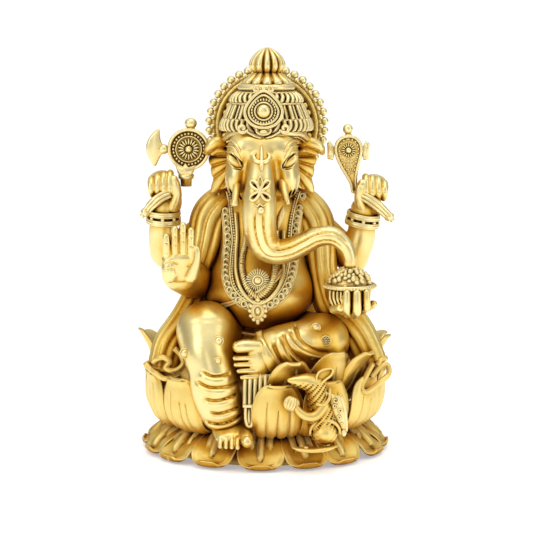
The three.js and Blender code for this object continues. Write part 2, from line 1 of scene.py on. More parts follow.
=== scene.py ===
"""Visual model of a cast brass figurine: a seated, four-armed, elephant-headed deity on a double lotus.

Coordinates are millimetres in the figurine's own frame: X to its left, -Y out of its front, +Z up. They
become metres only when a mesh is made. Rounded forms are modelled as signed distances on a grid and then
meshed; thin ornaments are built straight from curves, turned profiles and sheets.
"""
import math

import bpy
import numpy as np
import openvdb
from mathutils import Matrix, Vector


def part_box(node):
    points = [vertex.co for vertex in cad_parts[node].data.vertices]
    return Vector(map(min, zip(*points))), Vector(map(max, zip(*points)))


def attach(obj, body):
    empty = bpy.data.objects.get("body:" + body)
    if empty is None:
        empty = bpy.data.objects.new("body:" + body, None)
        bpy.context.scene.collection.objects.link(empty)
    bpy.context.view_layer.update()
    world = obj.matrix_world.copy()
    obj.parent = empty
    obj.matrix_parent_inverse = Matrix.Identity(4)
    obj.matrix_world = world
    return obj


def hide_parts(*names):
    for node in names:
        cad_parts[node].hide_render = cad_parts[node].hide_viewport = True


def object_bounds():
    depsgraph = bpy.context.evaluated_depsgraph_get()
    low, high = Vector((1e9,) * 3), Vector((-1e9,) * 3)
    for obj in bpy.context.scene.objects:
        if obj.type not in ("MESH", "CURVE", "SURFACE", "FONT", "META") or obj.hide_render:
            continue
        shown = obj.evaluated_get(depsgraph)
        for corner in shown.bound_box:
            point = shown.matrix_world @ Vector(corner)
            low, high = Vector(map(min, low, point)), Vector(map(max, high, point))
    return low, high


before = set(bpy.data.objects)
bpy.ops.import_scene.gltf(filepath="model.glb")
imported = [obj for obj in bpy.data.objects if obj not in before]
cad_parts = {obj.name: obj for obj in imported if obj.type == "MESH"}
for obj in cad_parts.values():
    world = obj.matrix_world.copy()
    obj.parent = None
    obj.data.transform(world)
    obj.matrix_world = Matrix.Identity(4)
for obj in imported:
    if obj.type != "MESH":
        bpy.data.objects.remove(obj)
CAD_BOX = [list(corner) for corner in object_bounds()]

HEIGHT = 150.0  # base to the finial's top
MM = (CAD_BOX[1][2] - CAD_BOX[0][2]) / HEIGHT  # metres in a millimetre
FAR = 6.0  # distances beyond this are not needed
TURN = 2 * math.pi
RNG = np.random.default_rng(11)


def middle(node):
    """The middle of a CAD node's box, in millimetres."""
    low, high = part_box(node)
    return (np.array(low) + np.array(high)) / 2 / MM


def catmull(points, steps):
    """A smooth curve through rows of numbers, with this many steps between neighbours."""
    rows = np.asarray(points, float)
    ends = np.vstack([2 * rows[0] - rows[1], rows, 2 * rows[-1] - rows[-2]])
    t = (np.arange(steps) / steps)[:, None]
    out = []
    for a, b, c, d in zip(ends, ends[1:], ends[2:], ends[3:]):
        bend = (2 * a - 5 * b + 4 * c - d) * t**2 + (3 * b - a - 3 * c + d) * t**3
        out.append(b + 0.5 * ((c - a) * t + bend))
    return np.vstack([*out, rows[-1:]])


def unit(rows):
    return rows / np.maximum(np.linalg.norm(rows, axis=-1, keepdims=True), 1e-9)


def melt(a, b, blend):
    """The nearer of two distances, rounded where they meet."""
    if blend <= 0:
        return np.minimum(a, b)
    near = np.maximum(blend - np.abs(a - b), 0) / blend
    return np.minimum(a, b) - near * near * blend / 4


def ramp(value, start, end):
    """A smooth step from 0 at start to 1 at end."""
    t = np.clip((value - start) / (end - start), 0, 1)
    return t * t * (3 - 2 * t)


def steps_along(path):
    """How far each point of a path lies from its start."""
    return np.concatenate([[0], np.cumsum(np.linalg.norm(np.diff(path, axis=0), axis=1))])


def rotation(turn):
    """Degrees about X, then Y, then Z."""
    rx, ry, rz = (math.radians(v) for v in turn)
    x = np.array([[1, 0, 0], [0, math.cos(rx), -math.sin(rx)], [0, math.sin(rx), math.cos(rx)]])
    y = np.array([[math.cos(ry), 0, math.sin(ry)], [0, 1, 0], [-math.sin(ry), 0, math.cos(ry)]])
    z = np.array([[math.cos(rz), -math.sin(rz), 0], [math.sin(rz), math.cos(rz), 0], [0, 0, 1]])
    return z @ y @ x


def circle(radius, count):
    """Points (across, up) round a circle, from its top."""
    angle = np.arange(count) * TURN / count
    return np.column_stack([radius * np.sin(angle), radius * np.cos(angle)])


def upright(flat, centre, lift=0.0):
    """Stands (across, up) points in the XZ plane round a centre, lifted towards the front."""
    flat = np.asarray(flat, float)
    x, y, z = centre
    return np.column_stack([flat[:, 0] + x, np.full(len(flat), y - lift), flat[:, 1] + z])


# ---- modelling with distances
class Clay:
    """A block of signed distances that rounded shapes are joined to and carved from."""

    def __init__(self, low, high, cell):
        self.cell = cell
        self.low = np.array(low, float)
        count = np.ceil((np.array(high) - self.low) / cell).astype(int) + 1
        self.depth = np.full(count, FAR, np.float32)

    def window(self, low, high):
        """The part of the block inside a box, as slices and open grids of its coordinates."""
        first = np.floor((np.asarray(low) - self.low) / self.cell).astype(int).clip(0)
        last = np.ceil((np.asarray(high) - self.low) / self.cell).astype(int) + 1
        last = np.maximum(np.minimum(last, self.depth.shape), first)
        axes = [
            (self.low[k] + self.cell * np.arange(first[k], last[k])).astype(np.float32) for k in range(3)
        ]
        return tuple(map(slice, first, last)), np.meshgrid(*axes, indexing="ij", sparse=True)

    def join(self, span, distance, blend=0.0, carve=False):
        now = self.depth[span]
        self.depth[span] = -melt(-now, distance, blend) if carve else melt(now, distance, blend)

    def ball(self, centre, radii, blend=0.0, turn=(0, 0, 0), carve=False, power=2.0):
        """An ellipsoid; a power above 2 makes it squarer."""
        radii = np.broadcast_to(np.asarray(radii, float), 3)
        reach = radii.max() * 1.3 + blend + 1
        span, grid = self.window(np.asarray(centre) - reach, np.asarray(centre) + reach)
        spin = rotation(turn)
        rel = [g - c for g, c in zip(grid, centre)]
        share = [np.abs(sum(spin[j][k] * rel[j] for j in range(3))) / radii[k] for k in range(3)]
        size = sum(s**power for s in share) ** (1 / power) + 1e-6
        slope = np.sqrt(sum((s ** (power - 1) / r) ** 2 for s, r in zip(share, radii))) + 1e-6
        self.join(span, (size - 1) * size ** (power - 1) / slope, blend, carve)

    def limb(self, stations, blend=1.0, facing=(0, -1, 0), steps=6, relief=None):
        """A round-ended limb through [x, y, z, half width, half thickness], its thickness along facing.

        relief(along, angle) adds to its radius: along runs from 0 to 1, angle is 0 at the facing side.
        """
        rows = catmull([(*row, row[3]) if len(row) == 4 else row for row in stations], steps)
        centre, wide, thick = rows[:, :3], rows[:, 3].clip(0.05), rows[:, 4].clip(0.05)
        tangent = unit(np.gradient(centre, axis=0))
        facing = np.asarray(facing, float)
        out = unit(facing - tangent * (tangent @ facing)[:, None])
        side = np.cross(tangent, out)
        share = steps_along(centre)
        share /= share[-1]
        margin = blend + 1.5
        field = np.full(self.depth.shape, FAR, np.float32)
        girth = rows[:, 3:].max(1)[:, None] + margin
        whole, _ = self.window((centre - girth).min(0), (centre + girth).max(0))
        for i in range(len(rows) - 1):
            reach = rows[i : i + 2, 3:].max() + margin
            span, grid = self.window(centre[i : i + 2].min(0) - reach, centre[i : i + 2].max(0) + reach)
            step = centre[i + 1] - centre[i]
            rel = [g - c for g, c in zip(grid, centre[i])]
            t = (sum(r * s for r, s in zip(rel, step)) / max(step @ step, 1e-9)).clip(0, 1)
            rel = [r - t * s for r, s in zip(rel, step)]
            a, b = (row[i] + t * (row[i + 1] - row[i]) for row in (wide, thick))
            u, v, w = (sum(r * s for r, s in zip(rel, axis[i])) for axis in (side, out, tangent))
            if relief is not None:
                swell = relief(share[i] + t * (share[i + 1] - share[i]), np.arctan2(u / a, v / b))
                a, b = a + swell, b + swell
            c = np.minimum(a, b)
            k0 = np.sqrt((u / a) ** 2 + (v / b) ** 2 + (w / c) ** 2)
            k1 = np.sqrt((u / a**2) ** 2 + (v / b**2) ** 2 + (w / c**2) ** 2) + 1e-6
            field[span] = np.minimum(field[span], k0 * (k0 - 1) / k1)
        self.join(whole, field[whole], blend)

    def press(self, low, high, depth):
        """Moves the surface inwards by depth(x, y, z) inside a box."""
        span, grid = self.window(low, high)
        self.depth[span] += depth(*grid).astype(np.float32)

    def groove(self, path, width):
        """Carves a round-bottomed line along a path of points near the surface."""
        path = np.asarray(path, float)
        reach = width + 1.5
        for a, b in zip(path[:-1], path[1:]):
            span, grid = self.window(np.minimum(a, b) - reach, np.maximum(a, b) + reach)
            rel, step = [g - p for g, p in zip(grid, a)], b - a
            t = (sum(r * s for r, s in zip(rel, step)) / max(step @ step, 1e-9)).clip(0, 1)
            gap = np.sqrt(sum((r - t * s) ** 2 for r, s in zip(rel, step)))
            self.join(span, gap - width, 0.4 * width, carve=True)

    def score(self, low, high, lines, width, depth, bulge=0.0):
        """Presses lines of (x, z) points into whatever lies in a box, with a soft roll below each."""
        def pressed(x, y, z):
            total = 0 * x * z
            for line in lines:
                flat = catmull(line, 5)
                along = steps_along(flat)
                near, place, below = FAR + 0 * x * z, 0 * x * z, 0 * x * z
                for i, (a, b) in enumerate(zip(flat[:-1], flat[1:])):
                    step = b - a
                    t = (((x - a[0]) * step[0] + (z - a[1]) * step[1]) / (step @ step)).clip(0, 1)
                    dx, dz = x - a[0] - t * step[0], z - a[1] - t * step[1]
                    gap = np.sqrt(dx * dx + dz * dz)
                    closer = gap < near
                    near = np.where(closer, gap, near)
                    place = np.where(closer, along[i] + t * (along[i + 1] - along[i]), place)
                    below = np.where(closer, -(dz * abs(step[0]) - dx * step[1] * np.sign(step[0])), below)
                fade = ramp(place, -0.01, 2) * ramp(along[-1] - place, -0.01, 1.2)
                roll = np.exp(-(((near - 1.5) / 1.1) ** 2)) * (below > 0)
                total = total + (depth * np.exp(-((near / width) ** 2)) - bulge * roll) * fade
            return total + 0 * y

        self.press(low, high, pressed)

    def front(self, x, z):
        """The y of the surface seen from the front at (x, z)."""
        place = np.round((np.array([x, z]) - self.low[[0, 2]]) / self.cell).astype(int)
        i, k = np.clip(place, 0, [self.depth.shape[0] - 1, self.depth.shape[2] - 1])
        column = self.depth[i, :, k]
        inside = np.flatnonzero(column < 0)
        if not len(inside):
            return float("nan")
        j = max(inside[0], 1)
        a, b = column[j - 1], column[j]
        return self.low[1] + self.cell * (j - 1 + np.clip(a / (a - b), 0, 1))

    def drape(self, points, lift=0.0, steps=6):
        """Lays a path of (x, z) points on the front of the surface."""
        flat = catmull(points, steps)
        depths = np.array([self.front(x, z) for x, z in flat])
        good = ~np.isnan(depths)
        depths = np.interp(np.arange(len(flat)), np.flatnonzero(good), depths[good])
        if len(depths) > 4:
            depths = np.convolve(np.pad(depths, 2, mode="edge"), np.ones(5) / 5, "valid")
        return np.column_stack([flat[:, 0], depths - lift, flat[:, 1]])

    def mesh(self):
        grid = openvdb.FloatGrid()
        grid.background = FAR
        grid.copyFromArray(np.clip(self.depth, -FAR, FAR))
        points, quads = grid.convertToQuads(isovalue=0.0)
        return points * self.cell + self.low, quads.astype(np.int64)


# ---- building thin ornaments
class Trim:
    """Small closed shapes collected into one mesh."""

    def __init__(self):
        self.points, self.faces, self.count = [], [], 0

    def include(self, points, faces):
        self.points.append(np.asarray(points, float).reshape(-1, 3))
        self.faces += [[int(i) + self.count for i in face] for face in faces]
        self.count += len(self.points[-1])

    def sleeve(self, rings, closed=False):
        """A tube over rows of rings of points, with its ends capped unless it closes on itself."""
        rings = np.asarray(rings, float)
        rows, sides = rings.shape[:2]
        faces = []
        for i in range(rows if closed else rows - 1):
            here, there = i * sides, (i + 1) % rows * sides
            for j in range(sides):
                k = (j + 1) % sides
                faces.append([here + j, here + k, there + k, there + j])
        if not closed:
            faces += [list(range(sides))[::-1], [(rows - 1) * sides + j for j in range(sides)]]
        self.include(rings, faces)

    def wire(self, path, radius, sides=8, closed=False, flat=1.0, facing=(0, -1, 0), twist=0.0):
        """A swept wire; flat squashes it along facing, twist winds a two-strand rope (turns per mm)."""
        path = np.asarray(path, float)
        radius = np.broadcast_to(np.asarray(radius, float), len(path))
        ahead = np.roll(path, -1, 0) - np.roll(path, 1, 0) if closed else np.gradient(path, axis=0)
        tangent = unit(ahead)
        facing = np.asarray(facing, float)
        out = unit(facing - tangent * (tangent @ facing)[:, None])
        side = np.cross(tangent, out)
        along = steps_along(path)
        angle = np.arange(sides) * TURN / sides
        rings = []
        for i in range(len(path)):
            strands = 0.28 * np.cos(2 * (angle - twist * along[i] * TURN)) if twist else 0
            size = radius[i] * (1 + strands)
            across = np.outer(size * np.sin(angle), side[i])
            rings.append(path[i] + across + np.outer(size * np.cos(angle) * flat, out[i]))
        self.sleeve(rings, closed)

    def ball(self, centre, radii, around=10, down=7, turn=(0, 0, 0), lobes=0, lobe_depth=0.0):
        """An ellipsoid; lobes flute it from pole to pole."""
        radii = np.broadcast_to(np.asarray(radii, float), 3)
        angle = np.arange(around) * TURN / around
        rings = []
        for i in range(1, down):
            polar = math.pi * i / down
            swell = 1 + lobe_depth * (np.abs(np.sin(angle * lobes / 2)) - 1) * math.sin(polar)
            out = math.sin(polar) * swell
            level = 0 * angle + math.cos(polar)
            rings.append(np.column_stack([np.cos(angle) * out, np.sin(angle) * out, level]))
        body = np.vstack([*rings, [[0, 0, 1]], [[0, 0, -1]]]) * radii
        body = body @ rotation(turn).T + np.asarray(centre)
        last = (len(rings) - 1) * around
        top, bottom = last + around, last + around + 1
        faces = []
        for j in range(around):
            k = (j + 1) % around
            faces += [[i + k, i + j, i + around + j, i + around + k] for i in range(0, last, around)]
            faces += [[top, j, k], [bottom, last + k, last + j]]
        self.include(body, faces)

    def turned(self, profile, centre, around=48, lobes=0, lobe_depth=0.0, squeeze=1.0, forward=False):
        """A turned body from (radius, height) rows, its axis up or forward; lobes flute it."""
        angle = np.arange(around) * TURN / around
        swell = 1 - lobe_depth * (1 - np.abs(np.cos(angle * lobes / 2))) ** 1.5
        rings = []
        for radius, height in profile:
            size = radius * swell
            depth = -size * np.cos(angle) * squeeze
            ring = np.column_stack([size * np.sin(angle), depth, 0 * angle + height])
            if forward:
                ring = ring[:, [0, 2, 1]] * [1, -1, 1]
            rings.append(ring + np.asarray(centre))
        self.sleeve(rings)

    def plate(self, outline, centre, thick, dome=0.0, turn=(0, 0, 0)):
        """A plate over an (across, up) outline, facing the front, with a rounded, slightly domed face."""
        outline = np.asarray(outline, float)
        across, up = outline.T
        if across @ np.roll(up, -1) < up @ np.roll(across, -1):
            outline = outline[::-1]
        core = outline.mean(0)
        rings = [np.column_stack([outline[:, 0], np.full(len(outline), thick / 2), outline[:, 1]])]
        for share in (0, 1 / 3, 2 / 3, 1):
            flat = core + (outline - core) * (1 - 0.22 * share**2)
            height = thick / 2 * (0.2 + 0.8 * math.sin(share * math.pi / 2)) + dome * share
            rings.append(np.column_stack([flat[:, 0], np.full(len(flat), -height), flat[:, 1]]))
        self.sleeve(np.array(rings) @ rotation(turn).T + np.asarray(centre))

    def mesh(self):
        return np.vstack(self.points), self.faces


EDGE_SHARE = 0.35  # a sheet's thickness at its edges, as a share of its thickness inside


def sheet_shell(surface, columns, rows, thick):
    """Closed shell round surface(u, v), u from -1 to 1 across and v from 0 to 1 along."""
    u, v = np.meshgrid(np.linspace(-1, 1, columns), np.linspace(0, 1, rows), indexing="ij")
    sheet = surface(u, v)
    normal = unit(np.cross(np.gradient(sheet, axis=0), np.gradient(sheet, axis=1)))
    edge = np.minimum(1 - np.abs(u), 1 - v)
    half = thick / 2 * (EDGE_SHARE + (1 - EDGE_SHARE) * ramp(edge, 0, 0.25))[..., None]
    index = np.arange(columns * rows).reshape(columns, rows)
    a, b, c, d = index[:-1, :-1], index[1:, :-1], index[1:, 1:], index[:-1, 1:]
    quads = np.stack([a, b, c, d], -1).reshape(-1, 4)
    rim = np.array([*index[:, 0], *index[-1, 1:], *index[-2::-1, -1], *index[0, -2:0:-1]])
    ahead = np.roll(rim, -1)
    back = columns * rows  # where the second skin's points begin
    edges = np.stack([ahead, rim, rim + back, ahead + back], -1)
    skins = [(sheet + normal * half).reshape(-1, 3), (sheet - normal * half).reshape(-1, 3)]
    return np.vstack(skins), np.vstack([quads, quads[:, ::-1] + back, edges])


def piece(name, shapes, finish, *nodes):
    """One visible object made of shapes, standing for the listed CAD nodes or the one it is named after."""
    shapes = [shape if isinstance(shape, tuple) else shape.mesh() for shape in shapes]
    faces, count = [], 0
    for points, shape_faces in shapes:
        faces += [[int(i) + count for i in face] for face in shape_faces]
        count += len(points)
    mesh = bpy.data.meshes.new(name)
    mesh.from_pydata(np.vstack([points for points, _ in shapes]) * MM, [], faces)
    mesh.validate()
    mesh.update()
    mesh.shade_smooth()
    mesh.materials.append(finish)
    made = bpy.data.objects.new(name, mesh)
    bpy.context.scene.collection.objects.link(made)
    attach(made, "root")
    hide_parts(*(nodes or [name]))


# ---- finishes
def brass(name, pale, gold, amber, roughness, reach, grain):
    """Antiqued brass, with light and shade painted into its colour: pale on open surfaces and rubbed edges
    (painted highlight and wear), gold on the slopes, amber in hollows and black in creases (patina and
    painted shade).

    reach is how far off, in metres, neighbouring metal still counts as a hollow's wall.
    """
    material = bpy.data.materials.new(name)
    material.use_nodes = True
    nodes, links = material.node_tree.nodes, material.node_tree.links
    shader = nodes["Principled BSDF"]
    shader.inputs["Metallic"].default_value = 1.0

    def node(kind, **values):
        made = nodes.new(kind)
        for key, value in values.items():
            if hasattr(made, key):
                setattr(made, key, value)
            else:
                made.inputs[key.replace("_", " ")].default_value = value
        return made

    def smooth(source, low, high, **ends):
        made = node("ShaderNodeMapRange", interpolation_type="SMOOTHSTEP", **ends)
        links.new(source, made.inputs["Value"])
        made.inputs["From Min"].default_value = low
        made.inputs["From Max"].default_value = high
        return made.outputs["Result"]

    def blended(factor, a, b):
        made = node("ShaderNodeMix", data_type="RGBA")
        links.new(factor, made.inputs["Factor"])
        for socket, value in (("A", a), ("B", b)):
            if isinstance(value, tuple):
                made.inputs[socket].default_value = (*value, 1)
            else:
                links.new(value, made.inputs[socket])
        return made.outputs["Result"]

    def openness(distance):
        made = node("ShaderNodeAmbientOcclusion", samples=8, Distance=distance)
        return made.outputs["AO"]

    place = node("ShaderNodeTexCoord")
    cloud = node("ShaderNodeTexNoise", Scale=110.0, Detail=5.0, Roughness=0.62)
    fine = node("ShaderNodeTexNoise", Scale=900.0, Detail=4.0, Roughness=0.65)
    for noise in (cloud, fine):
        links.new(place.outputs["Object"], noise.inputs["Vector"])

    lit = node("ShaderNodeMath", operation="MULTIPLY_ADD")  # cloud shifts where the patina and painted shade stop
    links.new(cloud.outputs[0], lit.inputs[0])
    lit.inputs[1].default_value = CLOUDING
    shifted = node("ShaderNodeMath", operation="SUBTRACT")
    links.new(openness(reach), shifted.inputs[0])
    shifted.inputs[1].default_value = PATINA_AND_SHADE_SPREAD
    links.new(shifted.outputs[0], lit.inputs[2])
    # painted light and shade from ambient occlusion: amber where hollows close in (patina and painted
    # shade), gold on slopes, pale on open surfaces (painted highlight and rubbed metal)
    slope = node("ShaderNodeValToRGB")
    links.new(lit.outputs[0], slope.inputs["Fac"])
    first, last = slope.color_ramp.elements
    first.position, first.color = 0.22, (*amber, 1)
    last.position, last.color = 0.96, (*pale, 1)
    halfway = slope.color_ramp.elements.new(0.62)
    halfway.color = (*gold, 1)

    # brown patina and painted shade in hollows, from ambient occlusion
    hollows_patina_and_shade = blended(smooth(openness(HOLLOW), 0.2, 0.74), HOLLOW_BROWN_PATINA_AND_SHADE, slope.outputs["Color"])
    # black patina and painted shade in narrow creases, from ambient occlusion
    creases_patina_and_shade = blended(smooth(openness(CREASE), 0.3, 0.72), CREASE_BLACK_PATINA_AND_SHADE, hollows_patina_and_shade)
    # pale on sharp raised edges: rubbed metal and a painted highlight
    bend = node("ShaderNodeNewGeometry")
    rubbed_edges_and_painted_highlight = smooth(bend.outputs["Pointiness"], 0.512, 0.58, To_Max=0.75)
    links.new(blended(rubbed_edges_and_painted_highlight, creases_patina_and_shade, pale), shader.inputs["Base Color"])

    gloss = smooth(lit.outputs[0], 0.25, 0.95, To_Min=min(roughness + 0.3, 1), To_Max=roughness)
    mottle = node("ShaderNodeMath", operation="MULTIPLY_ADD")
    links.new(fine.outputs[0], mottle.inputs[0])
    mottle.inputs[1].default_value = MOTTLE
    links.new(gloss, mottle.inputs[2])
    links.new(mottle.outputs[0], shader.inputs["Roughness"])

    grained = node("ShaderNodeBump", Strength=grain, Distance=0.00012)
    links.new(fine.outputs[0], grained.inputs["Height"])
    dented = node("ShaderNodeBump", Strength=grain * 0.6, Distance=0.0005)
    links.new(cloud.outputs[0], dented.inputs["Height"])
    links.new(grained.outputs[0], dented.inputs["Normal"])
    links.new(dented.outputs[0], shader.inputs["Normal"])
    return material


CLOUDING, PATINA_AND_SHADE_SPREAD, MOTTLE = 0.34, 0.24, 0.16  # patches, spread of the patina and painted shade, and uneven gloss
CREASE_BLACK_PATINA_AND_SHADE, CREASE = (0.022, 0.012, 0.006), 1.3 * MM  # the black painted in creases, patina and painted shade, and how narrow a crease is
HOLLOW_BROWN_PATINA_AND_SHADE, HOLLOW = (0.20, 0.065, 0.008), 3.6 * MM  # the brown painted in hollows, patina and painted shade, and how wide a hollow is
POLISHED = brass("polished_brass", pale=(0.86, 0.73, 0.35), gold=(0.76, 0.47, 0.045),
                 amber=(0.48, 0.18, 0.008), roughness=0.24, reach=14 * MM, grain=0.22)
ANTIQUE = brass("antique_brass", pale=(0.83, 0.64, 0.22), gold=(0.69, 0.39, 0.032),
                amber=(0.36, 0.12, 0.006), roughness=0.3, reach=10 * MM, grain=0.4)
ORNAMENT = brass("ornament_brass", pale=(0.88, 0.76, 0.4), gold=(0.75, 0.47, 0.055),
                 amber=(0.38, 0.14, 0.008), roughness=0.26, reach=6 * MM, grain=0.25)


# ---- torso, head and trunk
def make_torso():
    clay = Clay((-25, -28, 26), (24, 18, 104), 0.7)
    clay.ball((-1.8, -4.6, 61), (20.6, 20, 16.5))
    clay.ball((-1, -1, 43), (19, 16, 11), 5)
    clay.ball((-1, -0.5, 79), (17.6, 13, 14), 8)
    clay.ball((-0.8, 1, 88), (17, 9.6, 8.4), 5)
    clay.limb([(-0.9, -2, 90, 9.4), (-1, -6, 101, 9)], 4)
    waist = [(-19, 52), (-10, 48.4), (0, 47.4), (9, 49), (17, 53)]
    clay.score((-25, -30, 40), (24, 0, 60), [waist], 0.9, 1.5, 0.8)
    return clay


TORSO = make_torso()
piece("torso", [TORSO], POLISHED)

TRUNK = [
    (-1.2, -17, 115, 5.2), (-1.4, -22, 109.5, 4.7), (-1.7, -24.4, 104.6, 5.2), (-2, -25.6, 99, 6.1),
    (-2.1, -26.4, 92, 6.1), (-1.8, -25.8, 85.6, 6), (0, -24.8, 80, 5.5), (4, -25, 77.5, 4.6),
    (9.2, -26.2, 78.5, 4.3), (14, -27.8, 81, 4), (19, -29.6, 83.6, 3.7), (24.2, -31.2, 83.9, 3.4),
    (28.2, -32.2, 80.8, 2.8), (30, -32.6, 77.2, 2.4), (30.2, -32.8, 74.4, 2.3),
]
TRUNK_WRINKLES = 86


def trunk_skin(along, angle):
    """Rings of fine wrinkles, and a smooth raised band down the front between two grooves."""
    arc = np.abs(angle) * np.interp(along, [0, 0.25, 0.5, 0.8, 1], [5.2, 6, 5.2, 3.8, 2.4])
    lower = ramp(along, 0.3, 0.34) * (1 - ramp(along, 0.86, 0.93))
    ring = (1 - np.abs(np.sin(along * math.pi * TRUNK_WRINKLES))) ** 2
    band = 0.34 * (1 - ramp(arc, 0.95, 1.25)) - 0.62 * np.exp(-(((arc - 1.5) / 0.34) ** 2))
    return lower * (band - 0.3 * ring * ramp(arc, 1.5, 2.2))


FACE_X = -0.9
EYE_TILT = 43.0
EYE = (10.0, 109.7)  # how far out from the face's middle, and how high
FLOWER = (-1.7, 99.9)
FLOWER_LOOPS = ((48, 3.2), (132, 3.2), (222, 2.9), (318, 2.9))  # degrees and distance of each hole


def make_head():
    clay = Clay((-19, -38, 71), (33.5, 6, 124), 0.33)
    clay.ball((FACE_X, -10, 109), (13.1, 13.4, 12.6), power=3.2)
    clay.ball((FACE_X, -10.6, 101.6), (11.8, 12, 7.6), 3, power=2.8)
    for side in (-1, 1):
        clay.ball((FACE_X + side * 5.4, -19, 114.4), (5.6, 4.2, 4.6), 4)  # forehead domes
        clay.ball((FACE_X + side * 9.4, -17, 103), (3.6, 5, 6), 3)  # cheeks
    clay.limb(TRUNK, 2, steps=9, relief=trunk_skin)

    def valleys(x, y, z):
        off = np.abs(x - FACE_X + 0.5) - np.interp(z, [98, 103, 110], [7.2, 6.4, 5.6])
        return 1.3 * np.exp(-((off / 1.5) ** 2)) * ramp(z, 97, 101) * (1 - ramp(z, 108, 114)) + 0 * y

    clay.press((-13, -38, 96), (12, -12, 115), valleys)
    for side in (-1, 1):
        x, z = FACE_X + side * EYE[0], EYE[1]
        y = clay.front(x, z)
        tilt = (0, -side * EYE_TILT, 0)
        clay.ball((x, y + 0.1, z), (3.9, 1.5, 2.1), 0.5, tilt, carve=True)
        clay.ball((x, y + 1.1, z), (3.3, 1.7, 1.5), 0.2, tilt)
        for jag in range(3):  # folds at the cheek's lower edge
            jx = FACE_X + side * (10.8 - 1.5 * jag)
            clay.ball((jx, -20, 97.2 - 0.5 * jag), (0.4, 4, 2.8), 0.3, (0, side * 22, 0), carve=True)
    for degrees, reach in FLOWER_LOOPS:
        turn = math.radians(degrees)
        x, z = FLOWER[0] + (reach - 0.5) * math.cos(turn), FLOWER[1] + (reach - 0.5) * math.sin(turn)
        clay.ball((x, clay.front(x, z), z), (1.25, 0.9, 0.7), 0.1, (0, -degrees, 0), carve=True)
    return clay


HEAD = make_head()


def eye_lines(side):
    """Lids and brow ridges round one eye."""
    lines = (
        ([(12.9, 112.9), (10.9, 113), (9.1, 111), (7.5, 107.7)], 0.5),
        ([(12.6, 111.6), (11.7, 109), (10.1, 107.4), (7.6, 107.1)], 0.36),
        ([(13, 114.8), (11, 115), (9.2, 113.5), (7.9, 111)], 0.36),
        ([(13, 116.4), (11.2, 116.9), (9.2, 115.6), (7.8, 113.4)], 0.5),
    )
    lids = Trim()
    for points, thick in lines:
        path = HEAD.drape([(FACE_X + side * s, z) for s, z in points], 0.1, 8)
        lids.wire(path, thick * (0.4 + 0.6 * np.sin(np.linspace(0.25, math.pi - 0.15, len(path)))), 7)
    return lids


piece("head", [HEAD, eye_lines(-1), eye_lines(1)], POLISHED, "head", "trunk")


# ---- ears
def make_ear(side):
    """One ear: a lobed fan of folds spreading from the cheek under a rolled top flap."""
    root = FACE_X + side * 12.2
    flare = 9.8 if side > 0 else 8.4
    low, high = sorted((root - side * 3, root + side * 13))
    clay = Clay((low, -14, 93), (high, 2, 121), 0.3)
    rim = [(96, 6.6), (98, 7), (101, 6.4), (104.5, 6.8), (108, 7.6), (111, 8), (114, 7), (116, 4.5),
           (118, 0)]
    heights, reaches = np.array(rim).T

    def fan(x, y, z):
        out = side * (x - root)
        angle = np.arctan2(z - 110.5, out + 4.5)
        crease = (1 - np.abs(np.sin(angle * 9.5))) ** 2
        past_rim = out - np.interp(z, heights, reaches) + 0.7 * crease
        past_foot = 99.4 - 0.42 * out - z
        bend = -6.4 + 0.045 * out * out + 1.5 * crease * ramp(out, -0.5, 2)
        return np.maximum(np.maximum(past_rim, past_foot), np.abs(y - bend) - 1.3)

    span, grid = clay.window(clay.low, clay.low + clay.cell * np.array(clay.depth.shape))
    clay.join(span, fan(*grid).astype(np.float32))
    flap = [(0, -8, 115.4, 1.7), (4, -9.2, 115.9, 2.1), (flare - 1.6, -8.8, 114.2, 2),
            (flare, -7.6, 111.8, 1)]
    clay.limb([(root + side * out, *rest) for out, *rest in flap], 0.5, steps=8)
    fold = [(0.5, -8.6, 112.2, 0.9), (3.6, -8.8, 112.8, 1), (flare - 2.2, -8, 111.4, 0.7)]
    clay.limb([(root + side * out, *rest) for out, *rest in fold], 0.4)
    clay.depth = soften(clay.depth)
    return clay


def soften(field):
    """One light smoothing pass over a distance field."""
    for axis in range(3):
        low, high = np.roll(field, 1, axis), np.roll(field, -1, axis)
        field = (low + 2 * field + high) / 4
    return field.astype(np.float32)


piece("right_ear", [make_ear(-1)], POLISHED)
piece("left_ear", [make_ear(1)], POLISHED)


# ---- tusks and the marks on brow and trunk
tusk = Trim()
rail = catmull([(-10, -20, 102), (-10.3, -24, 98.8), (-10.6, -26.2, 96.2), (-10.6, -27, 94)], 5)
tusk.wire(rail, np.interp(np.arange(16), [0, 9, 13, 15], [1.5, 1.3, 1.5, 1]), 12)
piece("right_tusk", [tusk], POLISHED)

tusk = Trim()
rail = catmull([(6.2, -20, 103), (6.8, -24, 99.6), (7.6, -26.4, 97), (8.4, -27.4, 94.8)], 5)
tusk.wire(rail, np.interp(np.arange(16), [0, 15], [1.9, 0.6]), 12)
LIP = [(0, 4.4), (1, 2.4), (1.4, 0), (1, -2.6), (0, -5), (-1, -2.6), (-1.3, 0), (-0.9, 2.4)]
tusk.plate(LIP, (5.6, -22.4, 89.6), 1.6, 0.5, (0, 14, 8))
piece("left_tusk", [tusk], POLISHED)

marks = Trim()


def mark(path, thick, lift=0.2, steps=5):
    """One raised stroke on the brow or trunk."""
    rail = HEAD.drape(path, lift, steps)
    marks.wire(rail, np.interp(np.linspace(0, 1, len(rail)), np.linspace(0, 1, len(thick)), thick), 8)


